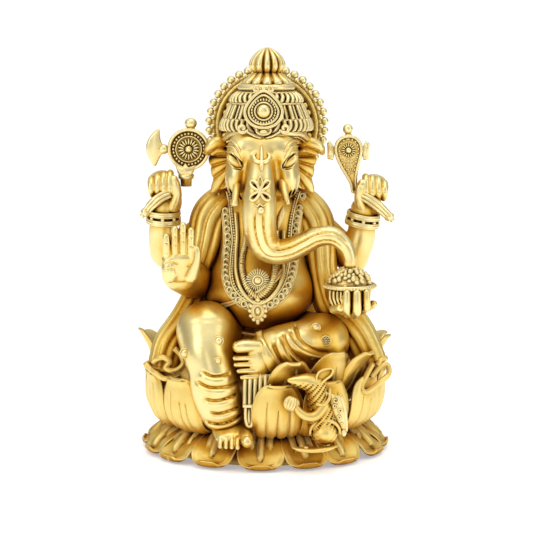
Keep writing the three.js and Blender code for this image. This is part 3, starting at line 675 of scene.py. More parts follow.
mark([(-1.2, z) for z in (115.4, 113, 110.4, 108.6, 106.9)], [0.3, 0.75, 0.75, 0.95, 0.3])
prongs = [(-3.2, 113), (-4, 112), (-3.6, 110.7), (-2.4, 110), (-1.2, 109.8), (0, 110), (1.2, 110.7),
          (1.6, 112), (0.8, 113)]
mark(prongs, [0.3, 0.8, 0.8, 0.8, 0.8, 0.8, 0.3])
for degrees, reach in FLOWER_LOOPS:
    turn = math.radians(degrees)
    loop = []
    for along, across in circle(1, 12):
        far = (reach - 0.5) + 2.1 * across
        off = 1.25 * along * (0.75 + 0.25 * across)
        x = FLOWER[0] + far * math.cos(turn) - off * math.sin(turn)
        loop.append((x, FLOWER[1] + far * math.sin(turn) + off * math.cos(turn)))
    mark([*loop, loop[0]], [0.56, 0.56], 0.15, 3)
x, z = FLOWER
mark([(x, z + 5.4), (x - 0.8, z + 3.4), (x, z + 1.2), (x + 0.8, z + 3.4), (x, z + 5.4)], [0.3, 0.34, 0.3])
mark([(x - 2, z - 4.4), (x - 1, z - 5.2), (x, z - 4.4), (x + 1, z - 5.2), (x + 2, z - 4.4)],
     [0.25, 0.34, 0.25])
marks.ball((x, HEAD.front(x, z) - 0.2, z), 0.8, 12, 8)
marks.ball((-1.4, HEAD.front(-1.4, 93.2) - 0.2, 93.2), (1.25, 0.9, 1.25), 14, 9)
piece("brow_marks", [marks], ORNAMENT, "trunk_flower")


# ---- legs and feet
SHIN_LINES = [
    [(-22.9, 36.6), (-18.5, 34.7), (-12.1, 35.1)],
    [(-24.8, 33), (-19.9, 30.9), (-13.9, 30.8), (-9.6, 31.6)],
    [(-22.3, 26.8), (-17, 26.1), (-9.6, 27.7)],
    [(-20.2, 22.1), (-16.3, 21.4), (-9, 23)],
    [(-21.6, 18), (-16.3, 17.3), (-11.7, 18.4), (-8, 20.3)],
]


def make_raised_leg():
    clay = Clay((-34, -42, 9), (0, 14, 60), 0.46)
    clay.limb([(-11, 4, 42, 10.5), (-17, -10, 46, 10.4), (-21, -19.5, 47.8, 10.4)], 2)
    shin = [(-21.4, -22, 47.8, 10.4), (-20.8, -27, 41.6, 9.2), (-19.2, -29.2, 35.6, 8.6),
            (-17.9, -30.6, 28, 8.7), (-16, -31.2, 21.4, 7.8), (-15, -31, 20, 7)]
    clay.limb(shin, 3)
    clay.score((-34, -42, 12), (0, -20, 42), SHIN_LINES, 0.42, 1.0, 0.55)
    return clay


LAP_LINES = [
    [(2.4, 46.4), (5.6, 39.8), (9.9, 34)],
    [(4.6, 48.6), (6, 46.7), (8.8, 41.2), (12.4, 36.8)],
    [(6.4, 49.4), (7.4, 46), (10.4, 41.6), (14.4, 38.4)],
    [(8.6, 50.4), (9.6, 48.4), (12.3, 44.9), (17, 42), (22, 40.2)],
    [(10.8, 52), (11.2, 50), (13.1, 46), (17.8, 42.7), (23, 41)],
]


def make_folded_leg():
    clay = Clay((-9, -38, 26), (36, 14, 58), 0.46)
    clay.limb([(9, 4, 42, 10), (15, -8, 43.4, 9.6), (20.8, -16.4, 43.8, 9.4)], 2)
    clay.limb([(21, -18.6, 43.6, 9.4), (14, -23, 43.2, 9), (6, -25.6, 42.2, 8.6), (1.5, -26.4, 41.4, 7.6)],
              3)
    clay.score((-9, -40, 28), (26, -14, 56), LAP_LINES, 0.55, 1.1, 0.5)
    return clay


TOES = range(4)  # the small toes, from the big toe outwards


def make_raised_foot():
    clay = Clay((-22, -47, 4), (-2, -22, 20), 0.3)
    clay.limb([(-14, -29, 15, 5.6, 5), (-12.6, -33, 13.4, 6.2, 4), (-11.8, -37, 12, 5.8, 2.8)], 1.5,
              (0, 0, 1))
    clay.limb([(-8, -34.6, 13.4, 2.4), (-6.7, -39.4, 12.9, 2.3), (-6.3, -41.6, 11.9, 2.2)], 0.9)
    clay.ball((-6.3, -43.1, 12.4), (1.5, 0.8, 1.7), 0.1, (-24, 0, 0))
    for toe in TOES:
        x, back = -9.7 - 2.05 * toe, 0.5 * toe
        clay.limb([(x - 0.3, -36, 13, 1.1), (x, -40 + back, 12.2, 0.98), (x, -42 + back, 10, 0.95)], 0.25)
        clay.ball((x, -42.9 + back, 10), (0.7, 0.4, 0.8), 0.05, (-20, 0, 0))
    return clay


def make_folded_foot():
    clay = Clay((-15, -39, 27), (8, -22, 51), 0.3)
    clay.limb([(2.4, -28.5, 40.2, 7, 4.4), (-1.6, -31.6, 39.8, 6.9, 3.8), (-3.8, -32.2, 39.6, 6.5, 3.2)],
              1.5)
    clay.limb([(-2.4, -33, 44.6, 2.3), (-7, -34.2, 44.9, 2.4), (-9.4, -34.4, 44.6, 2.2)], 0.8)
    clay.ball((-9.6, -35.9, 44.9), (1.7, 0.8, 1.4), 0.1)
    for toe in TOES:
        z, tip = 40.6 - 2.3 * toe, -10.5 + (0, 0.3, 1.3, 2.5)[toe]
        clay.limb([(-3, -34, z, 1.15), (-6.6, -34.6, z + 0.1, 1), (tip, -34.4, z - 0.1, 1.02)], 0.25)
        clay.ball((tip - 0.2, -35.3, z), (0.8, 0.4, 0.66), 0.05)
    return clay


LEG, LAP = make_raised_leg(), make_folded_leg()


def gem(clay, x, z, radius):
    """A set stone lying on a surface."""
    y = clay.front(x, z)
    trim = Trim()
    trim.ball((x, y + 0.1, z), (radius, radius * 0.8, radius), 16, 10)
    trim.wire(upright(circle(radius * 1.1, 24), (x, y - 0.1, z)), radius * 0.2, 6, closed=True)
    return trim


ROSETTE_PETALS = 9


def rosette(clay, x, z, radius):
    """A flat round boss with petals round its middle."""
    y = clay.front(x, z) - 0.2
    trim = Trim()
    rim = [(radius, -0.8), (radius, 0.3), (radius * 0.9, 0.6), (radius * 0.74, 0.3), (radius * 0.3, 0.2)]
    trim.turned(rim, (x, y, z), 30, forward=True)
    for k, (dx, dz) in enumerate(circle(radius * 0.5, ROSETTE_PETALS)):
        turn = (0, k * 360 / ROSETTE_PETALS, 0)
        trim.ball((x + dx, y - 0.35, z + dz), (radius * 0.12, 0.45, radius * 0.28), 8, 6, turn)
    trim.ball((x, y - 0.4, z), radius * 0.2, 8, 6)
    return trim


gems = [gem(LEG, -16.6, 40, 1.15), gem(LEG, -28.6, 41.9, 1.6)]
piece("raised_leg", [LEG, *gems], POLISHED)
for name, shape in (
    ("folded_leg", LAP),
    ("raised_foot", make_raised_foot()),
    ("folded_foot", make_folded_foot()),
):
    piece(name, [shape], POLISHED)
for name, shape in (
    ("raised_knee_gem", gem(LEG, -16.5, 46.6, 1.5)),
    ("folded_knee_gem", gem(LAP, 18.3, 50.3, 1.4)),
    ("folded_knee_rosette", rosette(LAP, 21.9, 45.9, 2)),
):
    piece(name, [shape], ORNAMENT)


# ---- raised arms and their hands
def make_arm(side):
    """The upper arm and raised forearm on one side (-1 right, 1 left)."""
    if side < 0:
        clay = Clay((-46, -13, 60), (-12, 12, 96), 0.5)
        upper = [(-18, 2, 85, 6.8), (-28.4, 2, 77.4, 6.2), (-35.4, 0.6, 73.6, 5.8)]
        fore = [(-37.2, 0, 74.4, 5.8), (-37.9, -3, 81, 5.4), (-37.5, -5, 88, 4.7), (-37.4, -5.6, 92, 4.5)]
    else:
        clay = Clay((11, -13, 58), (45, 12, 96), 0.5)
        upper = [(17, 2, 85, 6.8), (26, 2, 77.4, 6.2), (31.6, 0.6, 72.4, 5.6)]
        fore = [(33.2, 0, 72, 5.4), (35.4, -3, 79.4, 5.4), (36.2, -5, 87, 4.7), (36.2, -5.6, 91, 4.5)]
    clay.limb(upper, 2)
    clay.limb(fore, 2.5)
    return clay


def curled_hand(x, y, z, side):
    """A fist raised beside the head: palm to the front, fingers curled over, thumb along the inner side."""
    clay = Clay((x - 12, y - 9, z - 16), (x + 12, y + 8, z + 9), 0.3)
    clay.ball((x - side * 2.4, y + 1.4, z - 7), (4.9, 4, 6.4), 1)
    clay.ball((x, y + 1.6, z - 0.6), (5.4, 3.4, 5), 2)
    for k in range(4):
        fx, top = x + side * (-3.2 + 2.3 * k), z + 3.6 - 0.25 * k * k
        finger = [(fx, y + 1.4, top - 2.6, 1.2), (fx, y - 0.6, top, 1.28), (fx, y - 3.2, top - 1.6, 1.26),
                  (fx - side * 0.1, y - 3.6, z - 2.4, 1.24), (fx - side * 0.3, y - 1.6, z - 4.3, 1.1)]
        clay.limb(finger, 0.25)
        for crease in (top - 2.2, z - 1.6):
            clay.groove([(fx - 1, y - 4.9, crease), (fx + 1, y - 4.9, crease)], 0.18)
    thumb = [(x - side * 3.6, y - 0.6, z - 9.4, 2.6), (x - side * 5.6, y - 2.6, z - 4.8, 1.9),
             (x - side * 5.4, y - 3.2, z - 0.6, 1.6), (x - side * 4.8, y - 3, z + 1.6, 1.3)]
    clay.limb(thumb, 0.5)
    clay.ball((x - side * 4.9, y - 4.3, z + 0.9), (0.95, 0.5, 1.2), 0.1)
    clay.groove([(x + side * 2.8, y - 2.8, z - 4.8), (x - side * 1, y - 3.4, z - 7.6)], 0.3)
    return clay


for name, shape in (
    ("axe_arm", make_arm(-1)),
    ("noose_arm", make_arm(1)),
    ("axe_hand", curled_hand(-38, -6.5, 100.8, -1)),
    ("noose_hand", curled_hand(40.2, -6.5, 99.4, 1)),
):
    piece(name, [shape], POLISHED)


def bangles(x, y, z, tip):
    """Two flat bands round a wrist with a narrow gap between them, bridged by studs."""
    trim = Trim()
    spin = rotation((7, tip, 0))
    ring = np.column_stack([circle(1, 40)[:, ::-1], np.zeros(40)])
    for level, radius in ((1.5, 5.6), (-1.5, 5.8)):
        for edge, thick in ((0, 0.78), (-0.72, 0.34), (0.72, 0.34)):
            path = (ring * (radius + 0.3 * (thick < 0.5)) + [0, 0, level + edge]) @ spin.T + (x, y, z)
            trim.wire(path, thick, 8, closed=True, facing=(0, 0, 1))
    for stud in (ring * 5.7)[::5] @ spin.T + (x, y, z):
        trim.ball(stud, 0.75, 8, 6)
    return trim


piece("axe_bangle", [bangles(-37.5, -4.9, 88, 3)], ORNAMENT)
piece("noose_bangle", [bangles(36.2, -4.9, 87.2, 9)], ORNAMENT)


# ---- blessing hand, and the bowl of sweets
def make_blessing_arm():
    clay = Clay((-40, -38, 54), (-17, 0, 80), 0.4)
    clay.limb([(-25, -6, 64, 6.6), (-28, -15, 66.6, 6.8), (-30.5, -23.4, 69.4, 6.7)], 2)
    return clay


PALM_LINES = (
    [(-35.6, 74.4), (-33, 75), (-30.6, 74.2)],
    [(-35.2, 72.2), (-32.4, 72.7)],
    [(-32, 73), (-31.4, 70.6)],
    [(-25, 78.6), (-25.6, 75), (-27.4, 73.2)],
)


def make_blessing_hand():
    clay = Clay((-39, -37, 60), (-20, -23, 91), 0.28)
    clay.limb([(-30.3, -28.4, 70.4, 6, 3.6), (-30.6, -31, 75.8, 6.2, 2.5)], 1)
    clay.ball((-33.8, -31.4, 71.6), (3, 2.4, 4.4), 1.5)
    for x, root, tip in ((-34.9, -34.5, 85), (-31.9, -31.7, 87.7), (-29, -28.9, 89), (-26.2, -26.2, 87.2)):
        knuckle = ((root + x) / 2 - 0.1, -31.9, 80, 1.46)
        finger = [(root, -31.2, 75, 1.5), knuckle, (x, -32, tip - 1.3, 1.32)]
        clay.limb(finger, 0.2)
        for crease in (tip - 3.5, tip - 6.8):
            clay.groove([(x - 1.2, -33.2, crease), (x + 1.2, -33.2, crease)], 0.17)
    thumb = [(-26.4, -30.6, 69.6, 2.6), (-24.6, -32, 74.4, 1.7), (-24, -32.4, 78, 1.3),
             (-24.2, -32.4, 79.6, 1.1)]
    clay.limb(thumb, 0.5)
    for path in PALM_LINES:
        clay.groove(clay.drape(path, -0.05, 5), 0.26)
    return clay


BOWL_X, BOWL_Y, _ = middle("sweets_bowl")
BOWL_RIM = (8.6, 66.4)  # radius and height


def make_bowl_arm():
    clay = Clay((18, -30, 52), (42, 2, 72), 0.45)
    clay.limb([(26.6, -6, 61.6, 6.4), (28.6, -15, 60.8, 6), (29.8, -24, 60.4, 5.4)], 2)
    return clay


def make_bowl_hand():
    clay = Clay((BOWL_X - 12, BOWL_Y - 13, 52), (BOWL_X + 12, BOWL_Y + 11, 70), 0.28)
    clay.ball((BOWL_X - 0.4, BOWL_Y, 60.8), (7.2, 8.2, 5.2))
    for dx, wide, low in ((-1.5, 1.42, 56.2), (2, 1.62, 56), (5.4, 1.45, 57)):
        x, y = BOWL_X + dx, BOWL_Y - math.sqrt(9.4**2 - dx * dx)
        finger = [(x * 0.7 + BOWL_X * 0.3, y + 4, low + 0.8, wide), (x, y + 1, low + 2.4, wide),
                  (x, y, low + 5, wide, 1.5), (x, y + 0.2, 65, wide * 0.92, 1.3)]
        clay.limb(finger, 0.15)
    for rib in range(4):  # the little finger, curled beside the others
        x = BOWL_X - 7.2 + 1.25 * rib
        y = BOWL_Y - math.sqrt(8.8**2 - (x - BOWL_X) ** 2)
        clay.limb([(x, y, 65, 0.5), (x + 0.1, y - 0.3, 62.6, 0.55), (x + 1, y - 0.4, 60.4, 0.5)], 0.2)
    clay.limb([(BOWL_X - 6, BOWL_Y - 5, 58.6, 1.5), (BOWL_X - 3.9, BOWL_Y - 8.2, 59.6, 1.4)], 0.4)
    clay.limb([(BOWL_X + 6, BOWL_Y + 1, 58.6, 2), (BOWL_X + 8.4, BOWL_Y - 1, 59.8, 1.4)], 0.5)
    return clay


for name, shape in (
    ("blessing_forearm", make_blessing_arm()),
    ("blessing_hand", make_blessing_hand()),
    ("bowl_forearm", make_bowl_arm()),
    ("bowl_hand", make_bowl_hand()),
):
    piece(name, [shape], POLISHED)

bowl = Trim()
wall = [(4.6, 57.8), (6.6, 60), (7.6, 63.4), (8, 65.4), (8.4, 65.6), (8.4, 66.8), (7.6, 66.8), (7, 65.6)]
bowl.turned(wall, (BOWL_X, BOWL_Y, 0), 56)
radius, height = BOWL_RIM
rim = circle(radius, 72)
rim = np.column_stack([rim + (BOWL_X, BOWL_Y), np.full(72, height)])
bowl.wire(rim, 0.85, 10, closed=True, facing=(0, 0, 1))
for x, y in circle(radius + 0.75, 52) + (BOWL_X, BOWL_Y):
    bowl.ball((x, y, height - 0.1), (0.42, 0.42, 0.5), 6, 5)
piece("sweets_bowl", [bowl], ORNAMENT)

GRAINS = 120
GOLDEN_ANGLE = math.pi * (3 - math.sqrt(5))
heap = Trim()
heap.ball((BOWL_X, BOWL_Y, 66.6), (7, 7, 5.4), 24, 12)
for k in range(GRAINS):
    share = (k + 0.5) / GRAINS
    out, angle = 7.5 * math.sqrt(share), k * GOLDEN_ANGLE + RNG.uniform(-0.2, 0.2)
    top = 66.4 + 6.2 * math.sqrt(max(1 - share, 0)) + RNG.uniform(-0.35, 0.35)
    size = RNG.uniform(0.62, 0.98, 3)
    heap.ball((BOWL_X + out * math.cos(angle), BOWL_Y + out * math.sin(angle), top), size, 8, 6)
piece("sweets", [heap], ORNAMENT)


# ---- shawl
def flutes(count, deep, shift):
    """Cloth gathered into folds that run along it, with narrow valleys between them."""

    def relief(along, angle):
        wave = np.abs(np.sin(0.5 * count * angle + shift + 0.9 * np.sin(along * 5 + shift)))
        return deep * (np.minimum(1.6 * wave, 1) ** 0.8 - 1) * (0.55 + 0.45 * ramp(along, 0, 0.2))
    return relief


def shawl(low, high, cell, stations, folds):
    clay = Clay(low, high, cell)
    clay.limb(stations, 2, relief=folds, steps=8)
    clay.depth = soften(clay.depth)
    return clay


SHAWL_RIGHT = [(-11.8, 1, 95, 6.4, 4), (-15.8, 0.5, 91, 8.4, 5.6), (-19.4, 0, 86, 8.8, 6.6),
               (-21.6, -2, 77, 7.4, 7.8), (-23.4, -3.6, 69, 5.4, 7), (-24.8, -4, 61, 5, 5.4),
               (-29, -8, 50, 6.4, 4.6), (-34.4, -13.6, 42, 6.8, 3.6), (-37, -17, 34.6, 6.4, 3)]
SHAWL_LEFT = [
    (10.4, 1, 95, 6.4, 4), (14.2, 0.5, 90, 8.4, 5.6), (17.4, 0, 85, 8.6, 6.6), (19.6, -2, 77, 7.2, 7.8),
    (21.4, -6, 66, 6, 6.4), (25.6, -10, 55.6, 7.4, 4.8), (33.4, -14, 46.6, 7, 3.8), (38.4, -17, 36, 6.6, 3),
]
SHAWL_BACK = [
    (-0.6, 7, 93, 14, 4), (-0.6, 10, 84, 19.5, 5), (-0.6, 12.4, 70, 20, 5), (-0.6, 14, 54, 22, 5),
    (-0.6, 15.6, 42, 24.4, 4.4), (-0.6, 17.6, 32, 25, 3.6),
]
RIGHT_ENDS = [[(-44, -18, 35.4), (-41.6, -20, 33.4), (-39.6, -22, 32.4), (-36.8, -23, 30.8),
               (-33.6, -23.4, 31), (-30.8, -23, 32)],
              [(-40.8, -20, 36), (-39.2, -22, 37.8), (-36.8, -23, 38.5), (-34.6, -23.4, 37),
               (-36, -23.6, 34.9), (-33.6, -24, 33.8), (-31.1, -24, 34.6), (-29.6, -23.6, 36.6),
               (-30.6, -23, 39.4), (-32.9, -22, 41.7)]]
LEFT_ENDS = [[(39.4, -21, 36), (37, -23, 32), (35.1, -24, 27.8), (36.9, -24, 26), (41.4, -23, 28.9),
              (45.2, -20, 31.7), (44.7, -19, 35), (41.9, -20, 34.2), (38.8, -22, 31)],
             [(44.6, -17, 37.2), (42.4, -19, 36.6), (41, -20, 35)]]


def cloth_ends(paths):
    """The curled ends of the shawl, lying over the petals."""
    trim = Trim()
    for path in paths:
        rail = catmull(path, 6)
        trim.wire(rail, 1.05, 10, flat=0.8)
        trim.wire(rail + [0, -0.75, 0.2], 0.34, 6)
    return trim


right = shawl((-48, -28, 24), (-3, 12, 104), 0.5, SHAWL_RIGHT, flutes(11, 1.7, 0.4))
left = shawl((2, -28, 24), (50, 12, 104), 0.5, SHAWL_LEFT, flutes(11, 1.7, 1.3))
back = shawl((-30, -2, 24), (29, 25, 101), 0.7, SHAWL_BACK, flutes(14, 1.6, 0.2))
piece("shawl_right", [right, cloth_ends(RIGHT_ENDS)], ANTIQUE, "shawl_right", "shawl_right_fall")
piece("shawl_left", [left, cloth_ends(LEFT_ENDS)], ANTIQUE)
piece("shawl_back", [back], ANTIQUE)


# ---- lotus
DEEP = 0.875  # the lotus is this much shallower than it is wide
PETAL_GRID = (44, 26)  # points across a petal and along it


def petal(angle, path, thick, cup, slits, lean, wide):
    """One petal; path rows are [reach, height, half width], reach measured along X.

    slits are [place across, where it ends along, depth, half width in mm].
    """
    rail = catmull(path, 8)
    share = np.linspace(0, 1, len(rail))
    out = np.array([math.sin(angle), -math.cos(angle) * DEEP])
    across = unit(np.array([math.cos(angle), math.sin(angle) * DEEP]))
    slope = np.gradient(rail[:, :2], axis=0)
    normal = unit(np.column_stack([-slope[:, 1], slope[:, 0]]))

    def surface(u, v):
        reach, height, half = (np.interp(v, share, column) for column in rail.T)
        nr, nz = (np.interp(v, share, column) for column in normal.T)
        sag = -cup * (1 - u * u) * np.sin(np.pi * np.clip(v * 1.05, 0, 1))
        for place, end, size, slit_wide in slits:
            off = (u - place * (1 - 0.3 * v)) * half
            taper = slit_wide * (0.35 + 0.65 * (1 - ramp(v, 0, end)))
            sag = sag + size * np.exp(-((off / taper) ** 2)) * (1 - ramp(v, end * 0.8, end))
        reach, height = reach + nr * sag, height + nz * sag
        shift = half * wide * (u + lean * v)
        x, y = (out[k] * reach + across[k] * shift for k in range(2))
        return np.stack([x, y, height], -1)

    return sheet_shell(surface, *PETAL_GRID, thick)


def petal_ring(places, path, thick, cup, slits):
    """A row of petals at (angle, lift of the tip) places, each a little different."""
    shapes = []
    for angle, lift in places:
        angle += RNG.uniform(-0.03, 0.03)
        rise = lift + RNG.uniform(-0.6, 0.6)
        rows = [(r, z + rise * (i / (len(path) - 1)) ** 2, w) for i, (r, z, w) in enumerate(path)]
        own = [(place + RNG.uniform(-0.07, 0.07), end * RNG.uniform(0.85, 1.1), *rest)
               for place, end, *rest in slits]
        lean, wide = RNG.uniform(-0.14, 0.14), RNG.uniform(0.97, 1.06)
        shapes.append(petal(angle, rows, thick, cup, own, lean, wide))
    return shapes


LOWER = [(30, 11.4, 4), (34.5, 10.4, 6.6), (39, 8, 8.2), (42.4, 5.6, 8.4), (44.2, 3.1, 7.4),
         (45.6, 2.4, 5), (46.6, 3.3, 2.4)]
OUTER = [(29.5, 11.4, 4.6), (35.4, 11.8, 6.8), (40.2, 14.6, 8.4), (42.4, 19.6, 9.2), (42.8, 25, 8.8),
         (43.2, 29, 7.2), (44.8, 31.4, 4.8), (45.9, 30.6, 1.8)]
INNER = [(31.5, 22, 5), (35, 25, 7), (38, 29, 8.2), (40.2, 33.6, 7.8), (42.6, 37.6, 6), (45.6, 39.8, 3.6),
         (47.6, 39, 1.4)]
LOWER_SLITS = ((0.02, 0.7, 2.4, 0.9), (0.45, 0.42, 1.8, 0.6), (-0.45, 0.42, 1.8, 0.6))
OUTER_SLITS = ((0.04, 0.52, 2.6, 0.95), (0.5, 0.62, 2.2, 0.75), (-0.46, 0.58, 2.2, 0.75))
INNER_SLITS = ((0.3, 0.7, 1.2, 0.5), (-0.3, 0.6, 1.2, 0.5))
LOWER_PLACES = [(k * TURN / 16 - 0.052, 0) for k in range(16)]
OUTER_PLACES = [(k * TURN / 14 + 0.12, 0) for k in range(13)]
INNER_PLACES = [(0.22, -0.5), (0.6, 3.8), (0.96, 0.5), (1.36, 5), (1.8, 3), (2.24, 1), (2.7, 1), (3.14, 1),
                (3.58, 1), (4.04, 1), (4.48, 4), (4.86, 7.5)]

core = Trim()
waist = [(36.5, 0), (36.8, 1.2), (35.6, 3), (31, 7.4), (27.4, 11.4), (29, 16), (32.6, 24), (32.8, 27),
         (31, 28.4), (12, 28.8)]
core.turned(waist, (0, 0, 0), 96, squeeze=30 / 36)
piece("lotus_core", [core], ANTIQUE)
piece("petals_lower", petal_ring(LOWER_PLACES, LOWER, 1.8, 1.5, LOWER_SLITS), ANTIQUE)
piece("petals_outer", petal_ring(OUTER_PLACES, OUTER, 1.9, 1.8, OUTER_SLITS), ANTIQUE)
piece("petals_inner", petal_ring(INNER_PLACES, INNER, 1.7, 1.5, INNER_SLITS), ANTIQUE)


# ---- crown
CX, CY, _ = middle("crown_ring")


def on_cap(angle, z, lift=0.0):
    """A point on the crown; angle 0 is the front, positive towards +X."""
    profile = [113, 116, 119, 122, 125, 129, 132, 134.5], [13.6, 15, 15.8, 15.8, 15.2, 13.5, 12, 10.4]
    radius = np.interp(z, *profile) + lift
    return np.array([CX + radius * math.sin(angle), CY - radius * math.cos(angle), z])


def swept(trim, stations, swing, thick):
    """A tapered bar on the crown through (angle, height, lift); swing mirrors it on each side."""
    path = catmull([on_cap(swing * angle, z, lift) for angle, z, lift in stations], 3)
    trim.wire(path, np.interp(np.linspace(0, 1, len(path)), np.linspace(0, 1, len(thick)), thick), 7)


BARS, FEATHERS = 21, 17  # on each side
BAR_TOP, BAR_FOOT = 129.6, 124.4
CLAW = ((0.05, 124.2, 0.2), (0.03, 122.4, 0.9), (-0.03, 120.8, 1), (-0.1, 120, 0.6))  # turn, height, lift
FEATHER = ((0.06, 134, -0.4), (0.04, 132.4, 0.5), (-0.04, 131, 0.8), (-0.1, 130.6, 0.4))
cap = Trim()
inner = [(on_cap(math.pi / 2, z)[0] - CX - 0.9, z) for z in np.linspace(116, 134, 14)]
wall = [(14, 115.4), *inner, (8, 135)]
cap.turned(wall, (CX, CY, 0), 64)
for swing in (-1, 1):
    for k in range(BARS):  # paired upright bars over a row of claws
        angle = (k + 0.5) * math.pi / BARS
        wide = (0.74, 0.42)[k % 2]
        bar = angle - 0.02 * (k % 2)
        swept(cap, [(bar, BAR_TOP, -0.1), (bar, BAR_FOOT, 0.1)], swing, [wide, wide])
        claw = [(angle + turn, z, lift) for turn, z, lift in CLAW]
        swept(cap, claw, swing, [0.8, 0.74, 0.6, 0.3])
    for k in range(FEATHERS):
        angle = (k + 0.5) * math.pi / FEATHERS
        feather = [(angle + turn, z, lift) for turn, z, lift in FEATHER]
        swept(cap, feather, swing, [0.5, 0.8, 0.6, 0.3])
turns = np.arange(96) * TURN / 96
for level, lift, thick in ((130, 0.1, 0.4), (124.3, 0, 0.36), (133.9, -0.2, 0.36)):
    cap.wire([on_cap(a, level, lift) for a in turns], thick, 7, closed=True, facing=(0, 0, 1))
piece("crown_cap", [cap], ORNAMENT)

brim = Trim()
wave = np.array([[0, 117.9], [0.42, 119.5], [0.8, 119.2], [1.15, 117.2], [1.5, 115.9], [math.pi, 115.9]])
for drop, out, thick in ((0, 1, 0.85), (1.15, 0.4, 0.3)):
    path = [on_cap(a, np.interp(abs(math.remainder(a, TURN)), *wave.T) - drop, out) for a in turns]
    brim.wire(path, thick, 9, closed=True, facing=(0, 0, 1))
piece("crown_brim", [brim], ORNAMENT)

FINIAL_X = middle("finial")[0] + 0.3
LOBES = 12
RING = [(7.4, 134.2), (9.2, 134.2), (10.2, 134.8), (10.6, 135.6), (10.3, 136.4), (9.2, 137), (7.4, 137)]
NECK = [(5, 136.6), (8.8, 136.6), (9.4, 137.3), (8.6, 138.4), (6.8, 139.6), (5.4, 140.8), (4.8, 141.6)]
KNOB = [(4, 140.8), (5, 141), (6, 141.9), (6.6, 143.2), (6.6, 144.4), (6, 145.9), (5, 147.3), (3.6, 148.6),
        (2.2, 149.5), (0.8, 150)]
for name, wall, x, around, lobes, depth in (
    ("crown_ring", RING, CX, 64, 0, 0),
    ("finial_neck", NECK, FINIAL_X, 144, LOBES, 0.24),
    ("finial", catmull(KNOB, 2), FINIAL_X, 180, LOBES, 0.3),
):
    tier = Trim()
    tier.turned(wall, (x, CY, 0), around, lobes, depth)
    piece(name, [tier], ORNAMENT)


# ---- crest jewel
def teardrop(wide, low, high):
    """An upright drop outline, round below and pointed at the top."""
    out = []
    for across, up in circle(1, 48):
        rise = high * up**1.25 if up > 0 else low * up
        out.append((wide * across * (1 - 0.28 * max(up, 0) ** 2), rise))
    return np.array(out)


JEWEL_TILT = (-10, 0, 0)
JX, JY, _ = middle("crest_jewel")
JEWEL = np.array([JX + 0.1, JY + 0.6, 127.2])


def jewel_path(points, lift):
    return upright(points, (0, 0, 0), lift) @ rotation(JEWEL_TILT).T + JEWEL


def curl(centre, radius, turns, start, hand, thick, tail=()):
    """A spiral scroll opening out into a tail of points, with its tapering thickness."""
    t = np.linspace(0, turns * TURN, int(26 * turns) + 6)
    size = radius * (0.25 + 0.75 * t / t[-1])
    angle = start + hand * t
    path = np.column_stack([centre[0] + size * np.cos(angle), centre[1] + size * np.sin(angle)])
    whole = np.vstack([path, *[[point] for point in tail]])
    share = np.linspace(0, 1, len(whole))
    return whole, np.interp(share, [0, 0.3, 0.8, 1], [thick * 0.6, thick, thick, thick * 0.5])


drop = teardrop(7, 6.2, 7.6)
jewel = Trim()
jewel.plate(drop * 1.02, JEWEL + [0, 0.6, 0], 3.6, 0.2, JEWEL_TILT)
for scale, lift, thick in ((0.96, 1.9, 0.62), (0.76, 2.1, 0.42)):
    jewel.wire(jewel_path(drop * scale, lift), thick, 8, closed=True)
for place in jewel_path(circle(4.2, 26), 2.2):
    jewel.ball(place, (0.36, 0.45, 0.5), 7, 5)
jewel.wire(jewel_path(circle(3.1, 32), 2.3), 0.36, 7, closed=True)
jewel.ball(jewel_path([(0, 0)], 2.1)[0], (2.5, 1.8, 2.5), 24, 12)
jewel.ball(jewel_path([(0, -7.4)], 2.2)[0], (1.5, 0.8, 0.8), 12, 7)
cup = [(2.6 * math.sin(t), -6.8 - 1.6 * math.cos(t)) for t in np.linspace(-1.9, 1.9, 16)]
jewel.wire(jewel_path(cup, 2.2), 0.4, 7)
for side in (-1, 1):
    path, size = curl((side * 2.4, 8), 1.25, 1.1, math.pi / 2, side, 0.5, [(side * 0.6, 7)])
    jewel.wire(jewel_path(path, 1.8), size, 7)
    tail = [(side * 5.6, -7.4), (side * 3.2, -8.9), (side * 0.8, -9.6)]
    path, size = curl((side * 7.6, -6.1), 1.7, 1.2, -math.pi / 2, -side, 0.62, tail)
    jewel.wire(jewel_path(path, 1.8), size, 8)
jewel.ball(jewel_path([(0, 8.3)], 1.8)[0], 0.9, 10, 7)
piece("crest_jewel", [jewel], ORNAMENT)


# ---- halo
HALO = middle("halo_plate")
plate = Trim()
wall = [(19.6, -1.4), (19.8, 0.4), (19.4, 1.2), (17.6, 1.2), (17.2, 0.4), (15, 0.4), (4, 0.4)]
plate.turned(wall, HALO, 96, forward=True)
for lift in (-1.2, 1.2):
    plate.wire(upright(circle(18.6, 96), HALO, lift), 0.95, 9, closed=True, flat=0.8)
for place in upright(circle(16.4, 35), HALO, 0.9):
    plate.ball(place, (1.2, 1.1, 1.2), 10, 7)
piece("halo_plate", [plate], ANTIQUE)

beads = Trim()
beads.wire(upright(circle(20.2, 96), HALO), 1.2, 8, closed=True)
for k, place in enumerate(upright(circle(21.8, 76), HALO)):
    inward = (place - HALO) / 21.8
    if k % 2:
        beads.ball(place - 1.3 * inward - [0, 1.1, 0], 1.05, 9, 6)
    else:
        beads.ball(place, 1.62, 14, 9)
piece("halo_bead_ring", [beads], ORNAMENT)


# ---- axe and noose
def rays(trim, centre, radius, count, size, lift):
    """Upright seeds standing like the petals of a daisy."""
    for k, place in enumerate(upright(circle(radius, count), centre, lift)):
        trim.ball(place, size, 8, 6, (0, 360 * k / count, 0))


